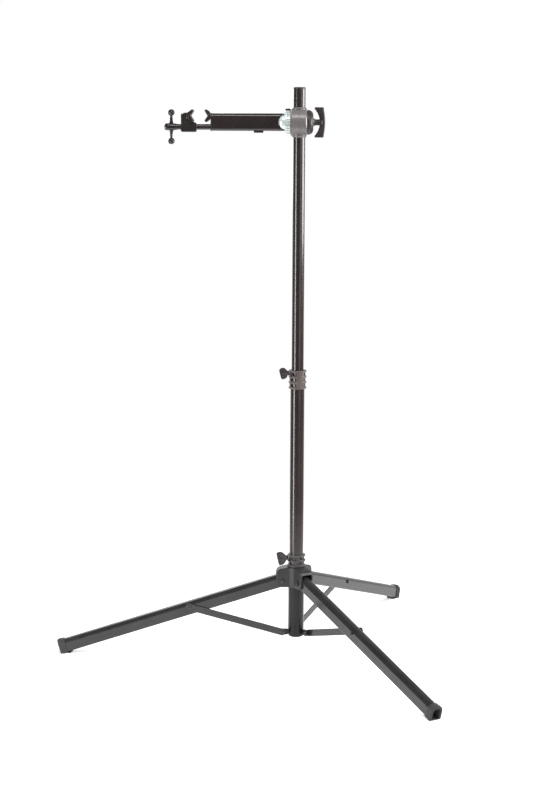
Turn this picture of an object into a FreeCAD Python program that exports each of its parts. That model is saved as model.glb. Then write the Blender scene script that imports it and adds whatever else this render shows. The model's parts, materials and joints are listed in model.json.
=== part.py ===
"""Folding bike repair stand with a tripod base and a rotating tube clamp.

Millimetres, +Z up.  The origin is on the floor under the mast, whose axis is the Z axis.
The clamp arm reaches towards -X, above the first leg.  Each separate piece is one object
of the document and one STEP file in parts/.
"""
import FreeCAD, Part
import math
import os
import Sketcher

Vector = FreeCAD.Vector
Rotation = FreeCAD.Rotation
Placement = FreeCAD.Placement
X_AXIS = Vector(1, 0, 0)
Y_AXIS = Vector(0, 1, 0)
Z_AXIS = Vector(0, 0, 1)

doc = FreeCAD.newDocument("bike_repair_stand")

# ---------------------------------------------------------------- driving dimensions
DIMENSIONS = {
    # mast
    "stand_height": 1803,       # floor to the top of the raised mast
    "lower_tube_d": 44.45,
    "upper_tube_d": 38.1,
    "tube_wall": 2,
    "lower_tube_top": 905,
    "upper_tube_bottom": 802,
    "fit_gap": 0.06,            # radial gap of a shaft that turns or slides in a bore
    # tripod
    "base_bottom": 54,
    "base_cup_d": 51,
    "base_cup_height": 43,
    "base_cup_floor": 8,
    "brace_pivot_height": 71.5,
    "pivot_radius": 45,         # mast axis to the upper leg pivots and the lower brace pivots
    "link_length": 312,         # upper leg pivot to brace pivot, and the brace itself
    "link_angle": 15.7,         # of both links to the floor, opened out
    "leg_angle": 17.3,          # of the leg tube to the floor
    "leg_pivot_drop": 2,        # upper pivot below the leg tube's centre line
    "foot_radius": 757,         # mast axis to the lower edge of a foot
    "leg_width": 33,
    "leg_height": 42,
    "leg_crown": 13,            # radius of the leg's two upper edges
    "leg_edge": 4,              # radius of its two lower edges
    "leg_tail": 8,              # leg tube past its upper pivot
    "bolt_d": 8,
    "bolt_head_d": 13.6,
    "bolt_head_height": 3.5,
    "nut_corner_d": 14.4,
    "nut_height": 5,
    "brace_width": 22,
    "brace_thickness": 4,
    "ear_thickness": 9,
    # hub
    "sleeve_d": 50.8,
    "sleeve_wall": 2.2,
    "hub_barrel_d": 63,
    "hub_below": 20.5,           # hub casting below and above the leg pivots
    "hub_above": 46,
    "lobe_reach": 65,
    "cheek": 6,
    "hub_roof": 9,
    "bush_length": 20,
    "collar_ring_d": 59,
    "hub_collar_height": 39,
    "mid_collar_bottom": 864,
    "mid_collar_height": 59,
    "mid_ring_d": 57,
    "collar_core_d": 51,
    "ring_height": 6,
    # knobs
    "mid_knob_wing": 34,        # length of each collar knob's wing, tip to tip
    "hub_knob_wing": 41,
    "mid_knob_reach": 28,       # from the washer to the knob's outer face
    "hub_knob_reach": 34,
    "knob_wing_width": 14,
    "knob_boss_d": 15,
    "stud_d": 8,
    "washer_thickness": 1.6,
    "knob_height_mid": 915,
    "knob_height_hub": 31,      # above the foot of the hub collar
    # head
    "arm_height": 1696,         # axis that the clamp arm turns about
    "head_d": 86,
    "head_left": 27.8,
    "head_right": 23.4,
    "neck_d": 46,
    "neck_reach": 46,
    "draw_bolt_d": 12,
    "dome_d": 76,
    "dome_length": 20,
    "wing_length": 93,
    "ring_d": 70,
    "ring_length": 8,
    "ring_teeth": 24,
    "nose_d": 50,
    "nose_left": 64.6,
    # clamp arm
    "arm_left": 270.8,          # distances from the mast axis, towards -X
    "arm_right": 46,
    "arm_tall": 54,
    "arm_deep": 36,
    "arm_corner": 11,
    "arm_wall": 2,
    "arm_notch_d": 52.6,
    "arm_notch_centre": 40,
    "jaw_rise": 19,             # clamped tube's centre above the arm's axis
    "jaw_half": 20,
    "jaw_deep": 36,
    "jaw_plate": 7,
    "jaw_v": 10.5,              # depth of each jaw's V
    "pad_thickness": 2.5,
    "fixed_jaw_back": 273.8,
    "moving_jaw_back": 344,
    "rod_d": 18,
    "rod_drop": 15,             # rod axis below the arm's axis
    "rod_left": 340,
    "rod_right": 90,
    "rod_bore_d": 13,
    "rod_bore_depth": 80,
    "rack_left": 205,
    "rack_depth": 2,
    "rack_pitch": 5,
    "rack_teeth": 21,
    "carrier_left": 365.5,
    "carrier_right": 317.5,
    "carrier_deep": 30,
    "screw_d": 10,
    "handle_left": 417.5,
    "handle_bar_x": 396,
    "handle_d": 23,
    "handle_neck_d": 17,
    "handle_ball_d": 21,
    "handle_ball_reach": 43.5,
    "button_left": 140.3,
    "button_right": 110.9,
    "button_travel": 4,
}


class Size:
    """A length or angle: its number, and the spreadsheet expression that gives it."""

    def __init__(self, number, text):
        self.number = number
        self.text = text

    def __add__(self, other):
        return Size(self.number + number_of(other), "(%s + %s)" % (self.text, text_of(other)))

    def __radd__(self, other):
        return Size(number_of(other) + self.number, "(%s + %s)" % (text_of(other), self.text))

    def __sub__(self, other):
        return Size(self.number - number_of(other), "(%s - %s)" % (self.text, text_of(other)))

    def __rsub__(self, other):
        return Size(number_of(other) - self.number, "(%s - %s)" % (text_of(other), self.text))

    def __mul__(self, other):
        return Size(self.number * number_of(other), "(%s * %s)" % (self.text, text_of(other)))

    def __rmul__(self, other):
        return Size(number_of(other) * self.number, "(%s * %s)" % (text_of(other), self.text))

    def __truediv__(self, other):
        return Size(self.number / number_of(other), "(%s / %s)" % (self.text, text_of(other)))

    def __neg__(self):
        return Size(-self.number, "(0 - %s)" % self.text)


def number_of(value):
    return value.number if isinstance(value, Size) else float(value)


def text_of(value):
    return value.text if isinstance(value, Size) else repr(float(value))


def sine(angle):
    return Size(math.sin(math.radians(angle.number)), "sin(%s)" % angle.text)


def cosine(angle):
    return Size(math.cos(math.radians(angle.number)), "cos(%s)" % angle.text)


class Dimensions:
    """The spreadsheet's cells as attributes, such as dim.leg_width."""


def fill_sheet():
    sheet = doc.addObject("Spreadsheet::Sheet", "Dims")
    dim = Dimensions()
    for row, (name, value) in enumerate(DIMENSIONS.items(), start=1):
        sheet.set("A%d" % row, name)
        sheet.set("B%d" % row, str(value))
        sheet.setAlias("B%d" % row, name)
        setattr(dim, name, Size(float(value), "Dims.%s" % name))
    doc.recompute()
    return dim


dim = fill_sheet()
sub_parts = []


# ---------------------------------------------------------------- modelling helpers
def bind(item, path, value):
    """Set a property to a size, and keep it bound to the spreadsheet."""
    item.setExpression(path, text_of(value))


def new_body(label):
    body = doc.addObject("PartDesign::Body", label)
    body.Label = label
    sub_parts.append(body)
    return body


def new_sketch(body, plane="XY_Plane", offset=None):
    """A sketch on one of the body's own origin planes, moved along its normal by offset."""
    sketch = body.newObject("Sketcher::SketchObject", body.Name + "_sketch")
    support = [item for item in body.Origin.OriginFeatures if item.Role == plane][0]
    sketch.AttachmentSupport = [(support, "")]
    sketch.MapMode = "FlatFace"
    if offset is not None:
        bind(sketch, "AttachmentOffset.Base.z", offset)
    return sketch


def constrain(sketch, value, *arguments):
    index = sketch.addConstraint(Sketcher.Constraint(*arguments, number_of(value)))
    bind(sketch, "Constraints[%d]" % index, value)


def pin_point(sketch, geometry, position, across, up):
    """Hold a point at its two distances from the sketch's origin."""
    constrain(sketch, across, "DistanceX", -1, 1, geometry, position)
    constrain(sketch, up, "DistanceY", -1, 1, geometry, position)


def circle(sketch, diameter, across=0, up=0):
    centre = Vector(number_of(across), number_of(up), 0)
    item = sketch.addGeometry(Part.Circle(centre, Z_AXIS, number_of(diameter) / 2))
    pin_point(sketch, item, 3, across, up)
    constrain(sketch, diameter / 2, "Radius", item)


def outline(sketch, points):
    """A closed outline of straight lines through the points."""
    corners = [Vector(number_of(across), number_of(up), 0) for across, up in points]
    count = len(points)
    lines = [sketch.addGeometry(Part.LineSegment(corners[i], corners[(i + 1) % count]))
             for i in range(count)]
    for i, (across, up) in enumerate(points):
        sketch.addConstraint(Sketcher.Constraint("Coincident", lines[i - 1], 2, lines[i], 1))
        pin_point(sketch, lines[i], 1, across, up)


def rounded_box(sketch, left, right, bottom, top, low_radius, high_radius):
    """A rectangle with round corners: one radius for its lower pair, one for its upper pair."""
    x0, x1 = number_of(left), number_of(right)
    y0, y1 = number_of(bottom), number_of(top)
    low, high = number_of(low_radius), number_of(high_radius)
    corners = [(x1 - low, y0 + low, low, low_radius, -90),
               (x1 - high, y1 - high, high, high_radius, 0),
               (x0 + high, y1 - high, high, high_radius, 90),
               (x0 + low, y0 + low, low, low_radius, 180)]
    arcs = []
    for x, y, radius, size, start in corners:
        round_corner = Part.Circle(Vector(x, y, 0), Z_AXIS, radius)
        arc = Part.ArcOfCircle(round_corner, math.radians(start), math.radians(start + 90))
        arcs.append(sketch.addGeometry(arc))
        constrain(sketch, size, "Radius", arcs[-1])
    ends = [(Vector(x0 + low, y0, 0), Vector(x1 - low, y0, 0)),
            (Vector(x1, y0 + low, 0), Vector(x1, y1 - high, 0)),
            (Vector(x1 - high, y1, 0), Vector(x0 + high, y1, 0)),
            (Vector(x0, y1 - high, 0), Vector(x0, y0 + low, 0))]
    lines = [sketch.addGeometry(Part.LineSegment(start, end)) for start, end in ends]
    for i in range(4):
        sketch.addConstraint(Sketcher.Constraint("Tangent", lines[i], 2, arcs[i], 1))
        sketch.addConstraint(Sketcher.Constraint("Tangent", arcs[i], 2, lines[(i + 1) % 4], 1))
        direction = "Horizontal" if i % 2 == 0 else "Vertical"
        sketch.addConstraint(Sketcher.Constraint(direction, lines[i]))
    constrain(sketch, bottom, "DistanceY", -1, 1, lines[0], 1)
    constrain(sketch, right, "DistanceX", -1, 1, lines[1], 1)
    constrain(sketch, top, "DistanceY", -1, 1, lines[2], 1)
    constrain(sketch, left, "DistanceX", -1, 1, lines[3], 1)


def extrude(body, sketch, length, kind="PartDesign::Pad", symmetric=True):
    """Pad or pocket a sketch, both ways from its plane unless symmetric is false."""
    feature = body.newObject(kind, body.Name + "_extrusion")
    feature.Profile = sketch
    feature.SideType = "Symmetric" if symmetric else "One side"
    bind(feature, "Length", length)
    sketch.Visibility = False
    body.Tip = feature
    return feature


def cut(body, sketch, length, symmetric=True, reverse=False):
    """Pocket a sketch, and make sure that it takes material away."""
    doc.recompute()
    before = body.Shape.Volume
    feature = extrude(body, sketch, length, "PartDesign::Pocket", symmetric)
    feature.Reversed = reverse
    doc.recompute()
    if body.Shape.Volume > before - 0.01:
        raise ValueError("a pocket in %s cuts nothing" % body.Label)
    return feature


def revolve(body, sketch, axis="V_Axis", kind="PartDesign::Revolution"):
    feature = body.newObject(kind, body.Name + "_turned")
    feature.Profile = sketch
    feature.ReferenceAxis = (sketch, [axis])
    feature.Angle = 360
    sketch.Visibility = False
    body.Tip = feature
    return feature


def repeat_round(body, feature, count, axis="Z_Axis"):
    """Repeat a feature evenly round one of the body's own origin axes."""
    pattern = body.newObject("PartDesign::PolarPattern", body.Name + "_pattern")
    pattern.Originals = [feature]
    origin_axis = [item for item in body.Origin.OriginFeatures if item.Role == axis][0]
    pattern.Axis = (origin_axis, [""])
    pattern.Angle = 360
    pattern.Occurrences = int(number_of(count))
    body.Tip = pattern
    doc.recompute()
    return pattern


def round_edges(body, radius, wanted, kind="PartDesign::Fillet"):
    """Fillet (or chamfer) the edges that the test called wanted picks."""
    doc.recompute()
    base = body.Tip
    names = ["Edge%d" % (i + 1) for i, edge in enumerate(base.Shape.Edges) if wanted(edge)]
    if not names:
        raise ValueError("no edge to round in %s" % body.Label)
    feature = body.newObject(kind, body.Name + "_edges")
    feature.Base = (base, names)
    bind(feature, "Radius" if kind.endswith("Fillet") else "Size", radius)
    body.Tip = feature
    doc.recompute()
    return feature


def lies_along(edge, axis):
    """True for a straight edge parallel to the axis."""
    if edge.Curve.TypeId != "Part::GeomLine":
        return False
    return abs(edge.tangentAt(edge.FirstParameter).dot(axis)) > 0.999


def ring_edge_at(edge, axis, position, radius, tolerance=0.05):
    """True for a full circle of this radius whose centre is at this position on the axis."""
    if edge.Curve.TypeId != "Part::GeomCircle":
        return False
    at_place = abs(edge.Curve.Center.dot(axis) - number_of(position)) < tolerance
    return at_place and abs(edge.Curve.Radius - number_of(radius)) < tolerance


def place(body, x=0, y=0, z=0, rotation=None):
    """Stand the body at a point, which stays bound to the spreadsheet."""
    if rotation is not None:
        body.Placement = Placement(Vector(0, 0, 0), rotation)
    for letter, value in zip("xyz", (x, y, z)):
        if isinstance(value, Size):
            bind(body, ".Placement.Base.%s" % letter, value)
        elif value:
            raise ValueError("a place is given by sizes: %s" % body.Label)


def turned_piece(label, points, axis="V_Axis"):
    """A piece turned on a lathe: its half section is an outline in the XZ plane."""
    body = new_body(label)
    sketch = new_sketch(body, "XZ_Plane")
    outline(sketch, points)
    revolve(body, sketch, axis)
    return body


def ring(label, outer, inner, height):
    """A plain ring that stands on the XY plane."""
    half = [(inner / 2, 0), (outer / 2, 0), (outer / 2, height), (inner / 2, height)]
    return turned_piece(label, half)


def bore_through(body, diameter, across, up, depth, plane="XZ_Plane"):
    """A round hole square to one of the origin planes, both ways from it."""
    sketch = new_sketch(body, plane)
    circle(sketch, diameter, across, up)
    return cut(body, sketch, depth)


# ---------------------------------------------------------------- worked-out places
fit = dim.fit_gap * 2
hub_pivot_height = dim.brace_pivot_height + dim.link_length * sine(dim.link_angle) * 2
hub_bottom = hub_pivot_height - dim.hub_below
hub_top = hub_pivot_height + dim.hub_above
base_top = dim.base_bottom + dim.base_cup_height
hub_collar_bottom = hub_top + 0.2
tilt = dim.leg_angle - dim.link_angle
sole_depth = dim.leg_height / 2 + 4 - dim.leg_pivot_drop
leg_length = (dim.foot_radius - dim.pivot_radius + sole_depth * sine(dim.leg_angle)) / cosine(dim.leg_angle)
joint_across = dim.link_length * cosine(tilt)      # brace bolt, seen from the upper pivot along the leg
joint_up = dim.link_length * sine(tilt)
brace_side = dim.leg_width / 2 + 0.7               # inner face of a brace, beside the leg
first_leg_turn = 182.1                             # the first leg is under the clamp arm
leg_turns = {number: first_leg_turn + 120 * (number - 1) for number in (1, 2, 3)}
knob_turn = 210                                    # the two mast knobs point left and forwards


def leg_rotation(number):
    down = Rotation(Y_AXIS, dim.leg_angle.number)
    return Rotation(Z_AXIS, leg_turns[number]).multiply(down)


def stand_on_leg(body, number):
    """Put a body, drawn along +X from the upper leg pivot, on its leg."""
    turn = math.radians(leg_turns[number])
    place(body, dim.pivot_radius * math.cos(turn), dim.pivot_radius * math.sin(turn),
          hub_pivot_height, leg_rotation(number))


# ---------------------------------------------------------------- mast and tripod base
def make_lower_mast_tube():
    inner = dim.lower_tube_d - dim.tube_wall * 2
    start = dim.base_bottom + dim.base_cup_floor
    body = ring("lower_mast_tube", dim.lower_tube_d, inner, dim.lower_tube_top - start)
    place(body, z=start)


def make_bottom_collar():
    """A cup under the mast, with one ear for each brace."""
    radius = dim.base_cup_d / 2
    bore = (dim.lower_tube_d + fit) / 2
    body = turned_piece("bottom_collar", [
        (0, 0), (radius, 0), (radius, dim.base_cup_height),
        (bore, dim.base_cup_height), (bore, dim.base_cup_floor), (0, dim.base_cup_floor)])
    round_edges(body, 7, lambda edge: ring_edge_at(edge, Z_AXIS, 0, radius))
    ear_height = dim.brace_pivot_height - dim.base_bottom
    ear_half = 9
    ear_middle = brace_side - 0.3 - dim.ear_thickness / 2
    sketch = new_sketch(body, "XZ_Plane", -ear_middle)
    rounded_box(sketch, bore + 0.5, dim.pivot_radius + ear_half, ear_height - ear_half,
                ear_height + ear_half, ear_half - 1, ear_half - 1)
    ear = extrude(body, sketch, dim.ear_thickness)
    doc.recompute()
    sketch = new_sketch(body, "XZ_Plane", -ear_middle)
    circle(sketch, dim.bolt_d + fit, dim.pivot_radius, ear_height)
    hole = cut(body, sketch, dim.ear_thickness + 2)
    pattern = body.newObject("PartDesign::PolarPattern", "bottom_collar_ears")
    pattern.Originals = [ear, hole]
    pattern.Axis = ([item for item in body.Origin.OriginFeatures if item.Role == "Z_Axis"][0], [""])
    pattern.Angle = 360
    pattern.Occurrences = 3
    body.Tip = pattern
    place(body, z=dim.base_bottom, rotation=Rotation(Z_AXIS, first_leg_turn))


def bolt_shape(head_side, shank_length, nut_side):
    """A pan-head bolt along Y with its nut: head at head_side, nut ending at nut_side."""
    head_radius = dim.bolt_head_d.number / 2
    head_height = dim.bolt_head_height.number
    shank = Part.makeCylinder(dim.bolt_d.number / 2, shank_length, Vector(0, head_side, 0), -Y_AXIS)
    head = Part.makeCylinder(head_radius, head_height, Vector(0, head_side, 0), Y_AXIS)
    rim = [edge for edge in head.Edges if ring_edge_at(edge, Y_AXIS, head_side + head_height, head_radius)]
    head = head.makeFillet(head_height * 0.7, rim)
    top = Vector(0, head_side + head_height, 0)
    head = head.cut(Part.makeCylinder(head_radius / 3, head_height / 2, top, -Y_AXIS))
    spoke = dim.nut_corner_d.number / 2
    angles = [math.radians(60 * i) for i in range(7)]
    corners = [Vector(spoke * math.cos(angle), nut_side, spoke * math.sin(angle)) for angle in angles]
    nut = Part.Face(Part.makePolygon(corners)).extrude(Vector(0, dim.nut_height.number, 0))
    return [shank.fuse(head).removeSplitter(), nut.cut(shank)]


def add_shape(label, solids):
    """A sub-part made of separate solids."""
    item = doc.addObject("Part::Feature", label)
    item.Label = label
    item.Shape = Part.makeCompound(solids) if len(solids) > 1 else solids[0]
    sub_parts.append(item)
    return item


def ring_of_bolts(label, height, head_side, shank_length, nut_side):
    solids = []
    for number in (1, 2, 3):
        turn = Rotation(Z_AXIS, leg_turns[number])
        spot = turn.multVec(Vector(dim.pivot_radius.number, 0, 0)) + Vector(0, 0, number_of(height))
        for solid in bolt_shape(head_side, shank_length, nut_side):
            solids.append(solid.transformGeometry(Placement(spot, turn).toMatrix()))
    add_shape(label, solids)


def make_base_bolts():
    outer = brace_side + dim.brace_thickness + 0.2
    ear_inner = brace_side - 0.3 - dim.ear_thickness
    nut_side = number_of(ear_inner) - 5.05
    ring_of_bolts("brace_lower_bolts", dim.brace_pivot_height, number_of(outer), number_of(outer) - nut_side,
                  nut_side)
    cheek_outer = number_of(dim.leg_width / 2 + 0.5 + dim.cheek)
    ring_of_bolts("leg_pivot_bolts", hub_pivot_height, cheek_outer + 0.05, 2 * cheek_outer + 5.1,
                  -cheek_outer - 5.05)


# ---------------------------------------------------------------- hub that slides on the mast
def make_hub_sleeve():
    inner = dim.sleeve_d - dim.sleeve_wall * 2
    body = ring("hub_sleeve", dim.sleeve_d, inner, hub_top - base_top - 2)
    place(body, z=base_top + 0.1)


def make_hub_bushes():
    """Two plastic bushes that guide the sleeve on the mast."""
    outer = (dim.sleeve_d - dim.sleeve_wall * 2 - 0.05).number / 2
    inner = (dim.lower_tube_d + fit).number / 2
    length = dim.bush_length.number
    solids = []
    for bottom in (base_top.number + 1, hub_top.number - length - 3):
        blank = Part.makeCylinder(outer, length, Vector(0, 0, bottom))
        solids.append(blank.cut(Part.makeCylinder(inner, length, Vector(0, 0, bottom))))
    add_shape("hub_bushes", solids)


def make_hub_casting():
    """A barrel round the sleeve with three forked lobes, one for each leg."""
    barrel = dim.hub_barrel_d / 2
    body = turned_piece("hub_casting", [
        (0, -dim.hub_below), (barrel - 3, -dim.hub_below), (barrel, 3 - dim.hub_below),
        (barrel, dim.hub_above - 3), (barrel - 3, dim.hub_above), (0, dim.hub_above)])
    half = dim.leg_width / 2 + 0.5 + dim.cheek
    lobe_sketch = new_sketch(body, "XZ_Plane")
    outline(lobe_sketch, [
        (0, 1 - dim.hub_below), (dim.pivot_radius + 9, 1 - dim.hub_below),
        (dim.lobe_reach - 2, 7 - dim.hub_below), (dim.lobe_reach, 0), (dim.lobe_reach, dim.hub_above - 19),
        (dim.lobe_reach - 4, dim.hub_above - 11), (dim.lobe_reach - 13, dim.hub_above - 5),
        (barrel, dim.hub_above - 1), (0, dim.hub_above - 1)])
    lobe = extrude(body, lobe_sketch, half * 2)
    repeat_round(body, lobe, 3)

    def lobe_rim(edge):
        middle = edge.valueAt((edge.FirstParameter + edge.LastParameter) / 2)
        reach = math.hypot(middle.x, middle.y)
        return reach > dim.pivot_radius.number and edge.Length < 60 and not crosses_lobe(edge)

    round_edges(body, 2.2, lobe_rim)
    slot_sketch = new_sketch(body, "XZ_Plane")
    slot_inner = dim.sleeve_d / 2 + 0.3
    slot_top = dim.hub_above - dim.hub_roof - 5
    outline(slot_sketch, [
        (slot_inner, -dim.hub_below - 5), (dim.lobe_reach + 5, -dim.hub_below - 5),
        (dim.lobe_reach + 5, slot_top - 8), (dim.lobe_reach - 8, slot_top), (slot_inner, slot_top)])
    slot = cut(body, slot_sketch, dim.leg_width + 1)
    repeat_round(body, slot, 3)
    hole_sketch = new_sketch(body, "XZ_Plane")
    circle(hole_sketch, dim.bolt_d + fit, dim.pivot_radius, 0)
    hole = cut(body, hole_sketch, half * 2 + 4)
    repeat_round(body, hole, 3)
    bore_sketch = new_sketch(body, "XY_Plane")
    circle(bore_sketch, dim.sleeve_d + 0.1)
    cut(body, bore_sketch, dim.hub_above * 3)
    place(body, z=hub_pivot_height, rotation=Rotation(Z_AXIS, first_leg_turn))


def crosses_lobe(edge):
    """True for the edges inside the valley between two lobes."""
    middle = edge.valueAt((edge.FirstParameter + edge.LastParameter) / 2)
    turn = math.degrees(math.atan2(middle.y, middle.x)) % 120
    return 40 < turn < 80


def ribbed_collar(label, height, bore, ring_d, ring_count, rim):
    """A clamp collar: a plain core with raised rings, one at each end."""
    body = ring(label, dim.collar_core_d, bore, height)
    step = (height - dim.ring_height) / (ring_count - 1)
    for i in range(ring_count):
        sketch = new_sketch(body, "XZ_Plane")
        low = step * i
        outline(sketch, [
            (dim.collar_core_d / 2 - 1, low), (ring_d / 2 - rim, low), (ring_d / 2, low + rim),
            (ring_d / 2, low + dim.ring_height - rim), (ring_d / 2 - rim, low + dim.ring_height),
            (dim.collar_core_d / 2 - 1, low + dim.ring_height)])
        revolve(body, sketch)
        doc.recompute()
    return body


knob_seat = dim.collar_ring_d / 2 + 1.5            # mast axis to the face under a knob's washer


def knob_boss(body, height):
    """A round boss along +X with the stud's hole through it."""
    root = dim.collar_core_d / 2 - 2.2
    sketch = new_sketch(body, "YZ_Plane", root)
    circle(sketch, dim.knob_boss_d, 0, height)
    extrude(body, sketch, knob_seat - root, symmetric=False)
    doc.recompute()
    sketch = new_sketch(body, "YZ_Plane", dim.lower_tube_d / 2 - 1)
    circle(sketch, dim.stud_d + fit, 0, height)
    cut(body, sketch, knob_seat - dim.lower_tube_d / 2 + 2, symmetric=False, reverse=True)


def make_hub_collar():
    body = ribbed_collar("hub_collar", dim.hub_collar_height, dim.lower_tube_d + fit, dim.collar_ring_d, 3, 2)
    knob_boss(body, dim.knob_height_hub)
    place(body, z=hub_collar_bottom, rotation=Rotation(Z_AXIS, knob_turn))


def make_mid_collar():
    """The collar on the top of the lower mast that clamps the upper mast."""
    body = ribbed_collar("mid_collar", dim.mid_collar_height, dim.upper_tube_d + fit, dim.mid_ring_d, 4, 2)
    knob_boss(body, dim.knob_height_mid - dim.mid_collar_bottom)
    sketch = new_sketch(body, "XY_Plane")
    circle(sketch, dim.lower_tube_d + fit)
    cut(body, sketch, dim.lower_tube_top - dim.mid_collar_bottom + 0.1, symmetric=False, reverse=True)
    panel = new_sketch(body, "XY_Plane")
    rounded_box(panel, -10, 10, -dim.mid_ring_d / 2 - 0.5, -dim.collar_core_d / 2 + 1, 2, 0.8)
    extrude(body, panel, dim.mid_collar_height, symmetric=False)
    doc.recompute()
    place(body, z=dim.mid_collar_bottom, rotation=Rotation(Z_AXIS, knob_turn))


def make_mid_collar_bush():
    """A plastic bush in the mouth of the lower tube, round the upper tube."""
    outer = dim.lower_tube_d - dim.tube_wall * 2 - 0.05
    body = ring("mid_collar_bush", outer, dim.upper_tube_d + fit, dim.bush_length * 2)
    place(body, z=dim.lower_tube_top - dim.bush_length * 2)


# ---------------------------------------------------------------- screw knobs of the collars
def knob_rotation(turn, twist):
    """Local +X points away from the mast; the wing is turned about it by twist."""
    return Rotation(Z_AXIS, turn).multiply(Rotation(X_AXIS, twist))


def knob_place(body, height, turn, twist):
    place(body, z=height, rotation=knob_rotation(turn, twist))


def make_wing_knob(label, height, twist, wing_length, reach):
    """A two-winged knob with a stem, drawn along +X from the mast axis."""
    start = knob_seat + dim.washer_thickness + 0.2
    end = start + reach
    body = turned_piece(label, [
        (start, 0), (start, 7), (start + 8, 5.5), (end - 8, 7), (end - 8, 0)], "H_Axis")
    wing = new_sketch(body, "XZ_Plane")
    half = wing_length / 2
    outline(wing, [
        (start + 8, -6), (end - 17, -half), (end - 1, -half - 1), (end, 0), (end - 1, half + 1),
        (end - 17, half), (start + 8, 6)])
    extrude(body, wing, dim.knob_wing_width)
    round_edges(body, 2.5, lambda edge: lies_along(edge, Y_AXIS) and abs(edge.CenterOfMass.z) > 12)
    knob_hole = new_sketch(body, "YZ_Plane", start - 1)
    circle(knob_hole, dim.stud_d)
    cut(body, knob_hole, 13, symmetric=False, reverse=True)
    knob_place(body, height, knob_turn, twist)


def make_stud(label, height, twist):
    inner = dim.lower_tube_d / 2 + 0.3
    body = turned_piece(label, [
        (inner, 0), (inner, dim.stud_d / 2 - 1), (inner + 1, dim.stud_d / 2),
        (knob_seat + dim.washer_thickness + 12, dim.stud_d / 2), (knob_seat + dim.washer_thickness + 12, 0)],
        "H_Axis")
    knob_place(body, height, knob_turn, twist)


def make_washer(label, height, seat, hole, outer, rotation):
    inner = (hole + fit) / 2
    body = turned_piece(label, [
        (seat + 0.1, inner), (seat + 0.1 + dim.washer_thickness, inner),
        (seat + 0.1 + dim.washer_thickness, outer / 2), (seat + 0.1, outer / 2)], "H_Axis")
    place(body, z=height, rotation=rotation)


def make_collar_knobs():
    places = {"mid": (dim.knob_height_mid, 30, dim.mid_knob_wing, dim.mid_knob_reach),
              "hub": (hub_collar_bottom + dim.knob_height_hub, 26, dim.hub_knob_wing, dim.hub_knob_reach)}
    for name, (height, twist, wing_length, reach) in places.items():
        make_wing_knob(name + "_knob", height, twist, wing_length, reach)
        make_stud(name + "_knob_stud", height, twist)
        make_washer(name + "_knob_washer", height, knob_seat, dim.stud_d, dim.stud_d * 2,
                    knob_rotation(knob_turn, 0))


# ---------------------------------------------------------------- legs and braces
def make_leg_tube(number):
    """A tube with a domed top and flat sides, open at its lower end."""
    low = -dim.leg_height / 2 + dim.leg_pivot_drop
    high = dim.leg_height / 2 + dim.leg_pivot_drop
    half = dim.leg_width / 2
    length = leg_length - 14
    body = new_body("leg_%d_tube" % number)
    sketch = new_sketch(body, "YZ_Plane", -dim.leg_tail)
    rounded_box(sketch, -half, half, low, high, dim.leg_edge, dim.leg_crown)
    extrude(body, sketch, length + dim.leg_tail, symmetric=False)
    doc.recompute()
    sketch = new_sketch(body, "YZ_Plane", -dim.leg_tail - 1)
    wall = dim.tube_wall
    rounded_box(sketch, wall - half, half - wall, low + wall, high - wall, dim.leg_edge - wall,
                dim.leg_crown - wall)
    cut(body, sketch, length + dim.leg_tail + 2, symmetric=False, reverse=True)
    heel = new_sketch(body, "XZ_Plane")
    outline(heel, [(-dim.leg_tail - 1, low - 1), (1, low - 1), (-dim.leg_tail - 1, low + dim.leg_tail + 1)])
    cut(body, heel, dim.leg_width + 2)
    bore_through(body, dim.bolt_d + fit, 0, 0, dim.leg_width + 2)
    bore_through(body, dim.bolt_d + fit, joint_across, joint_up, dim.leg_width + 2)
    stand_on_leg(body, number)


def make_leg_insert(number):
    """The plastic block in the leg's upper end that turns on the pivot bolt."""
    wall = dim.tube_wall + 0.1
    low = -dim.leg_height / 2 + dim.leg_pivot_drop + wall
    high = dim.leg_height / 2 + dim.leg_pivot_drop - wall
    half = dim.leg_width / 2 - wall
    body = new_body("leg_%d_insert" % number)
    sketch = new_sketch(body, "YZ_Plane", -dim.leg_tail)
    rounded_box(sketch, -half, half, low, high, dim.leg_edge - wall, dim.leg_crown - wall)
    extrude(body, sketch, dim.leg_tail + 30, symmetric=False)
    heel = new_sketch(body, "XZ_Plane")
    outline(heel, [(-dim.leg_tail - 1, low - 4), (2, low - 4), (-dim.leg_tail - 1, low + dim.leg_tail)])
    cut(body, heel, dim.leg_width + 2)
    bore_through(body, dim.bolt_d + fit, 0, 0, dim.leg_width + 2)
    stand_on_leg(body, number)


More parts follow.
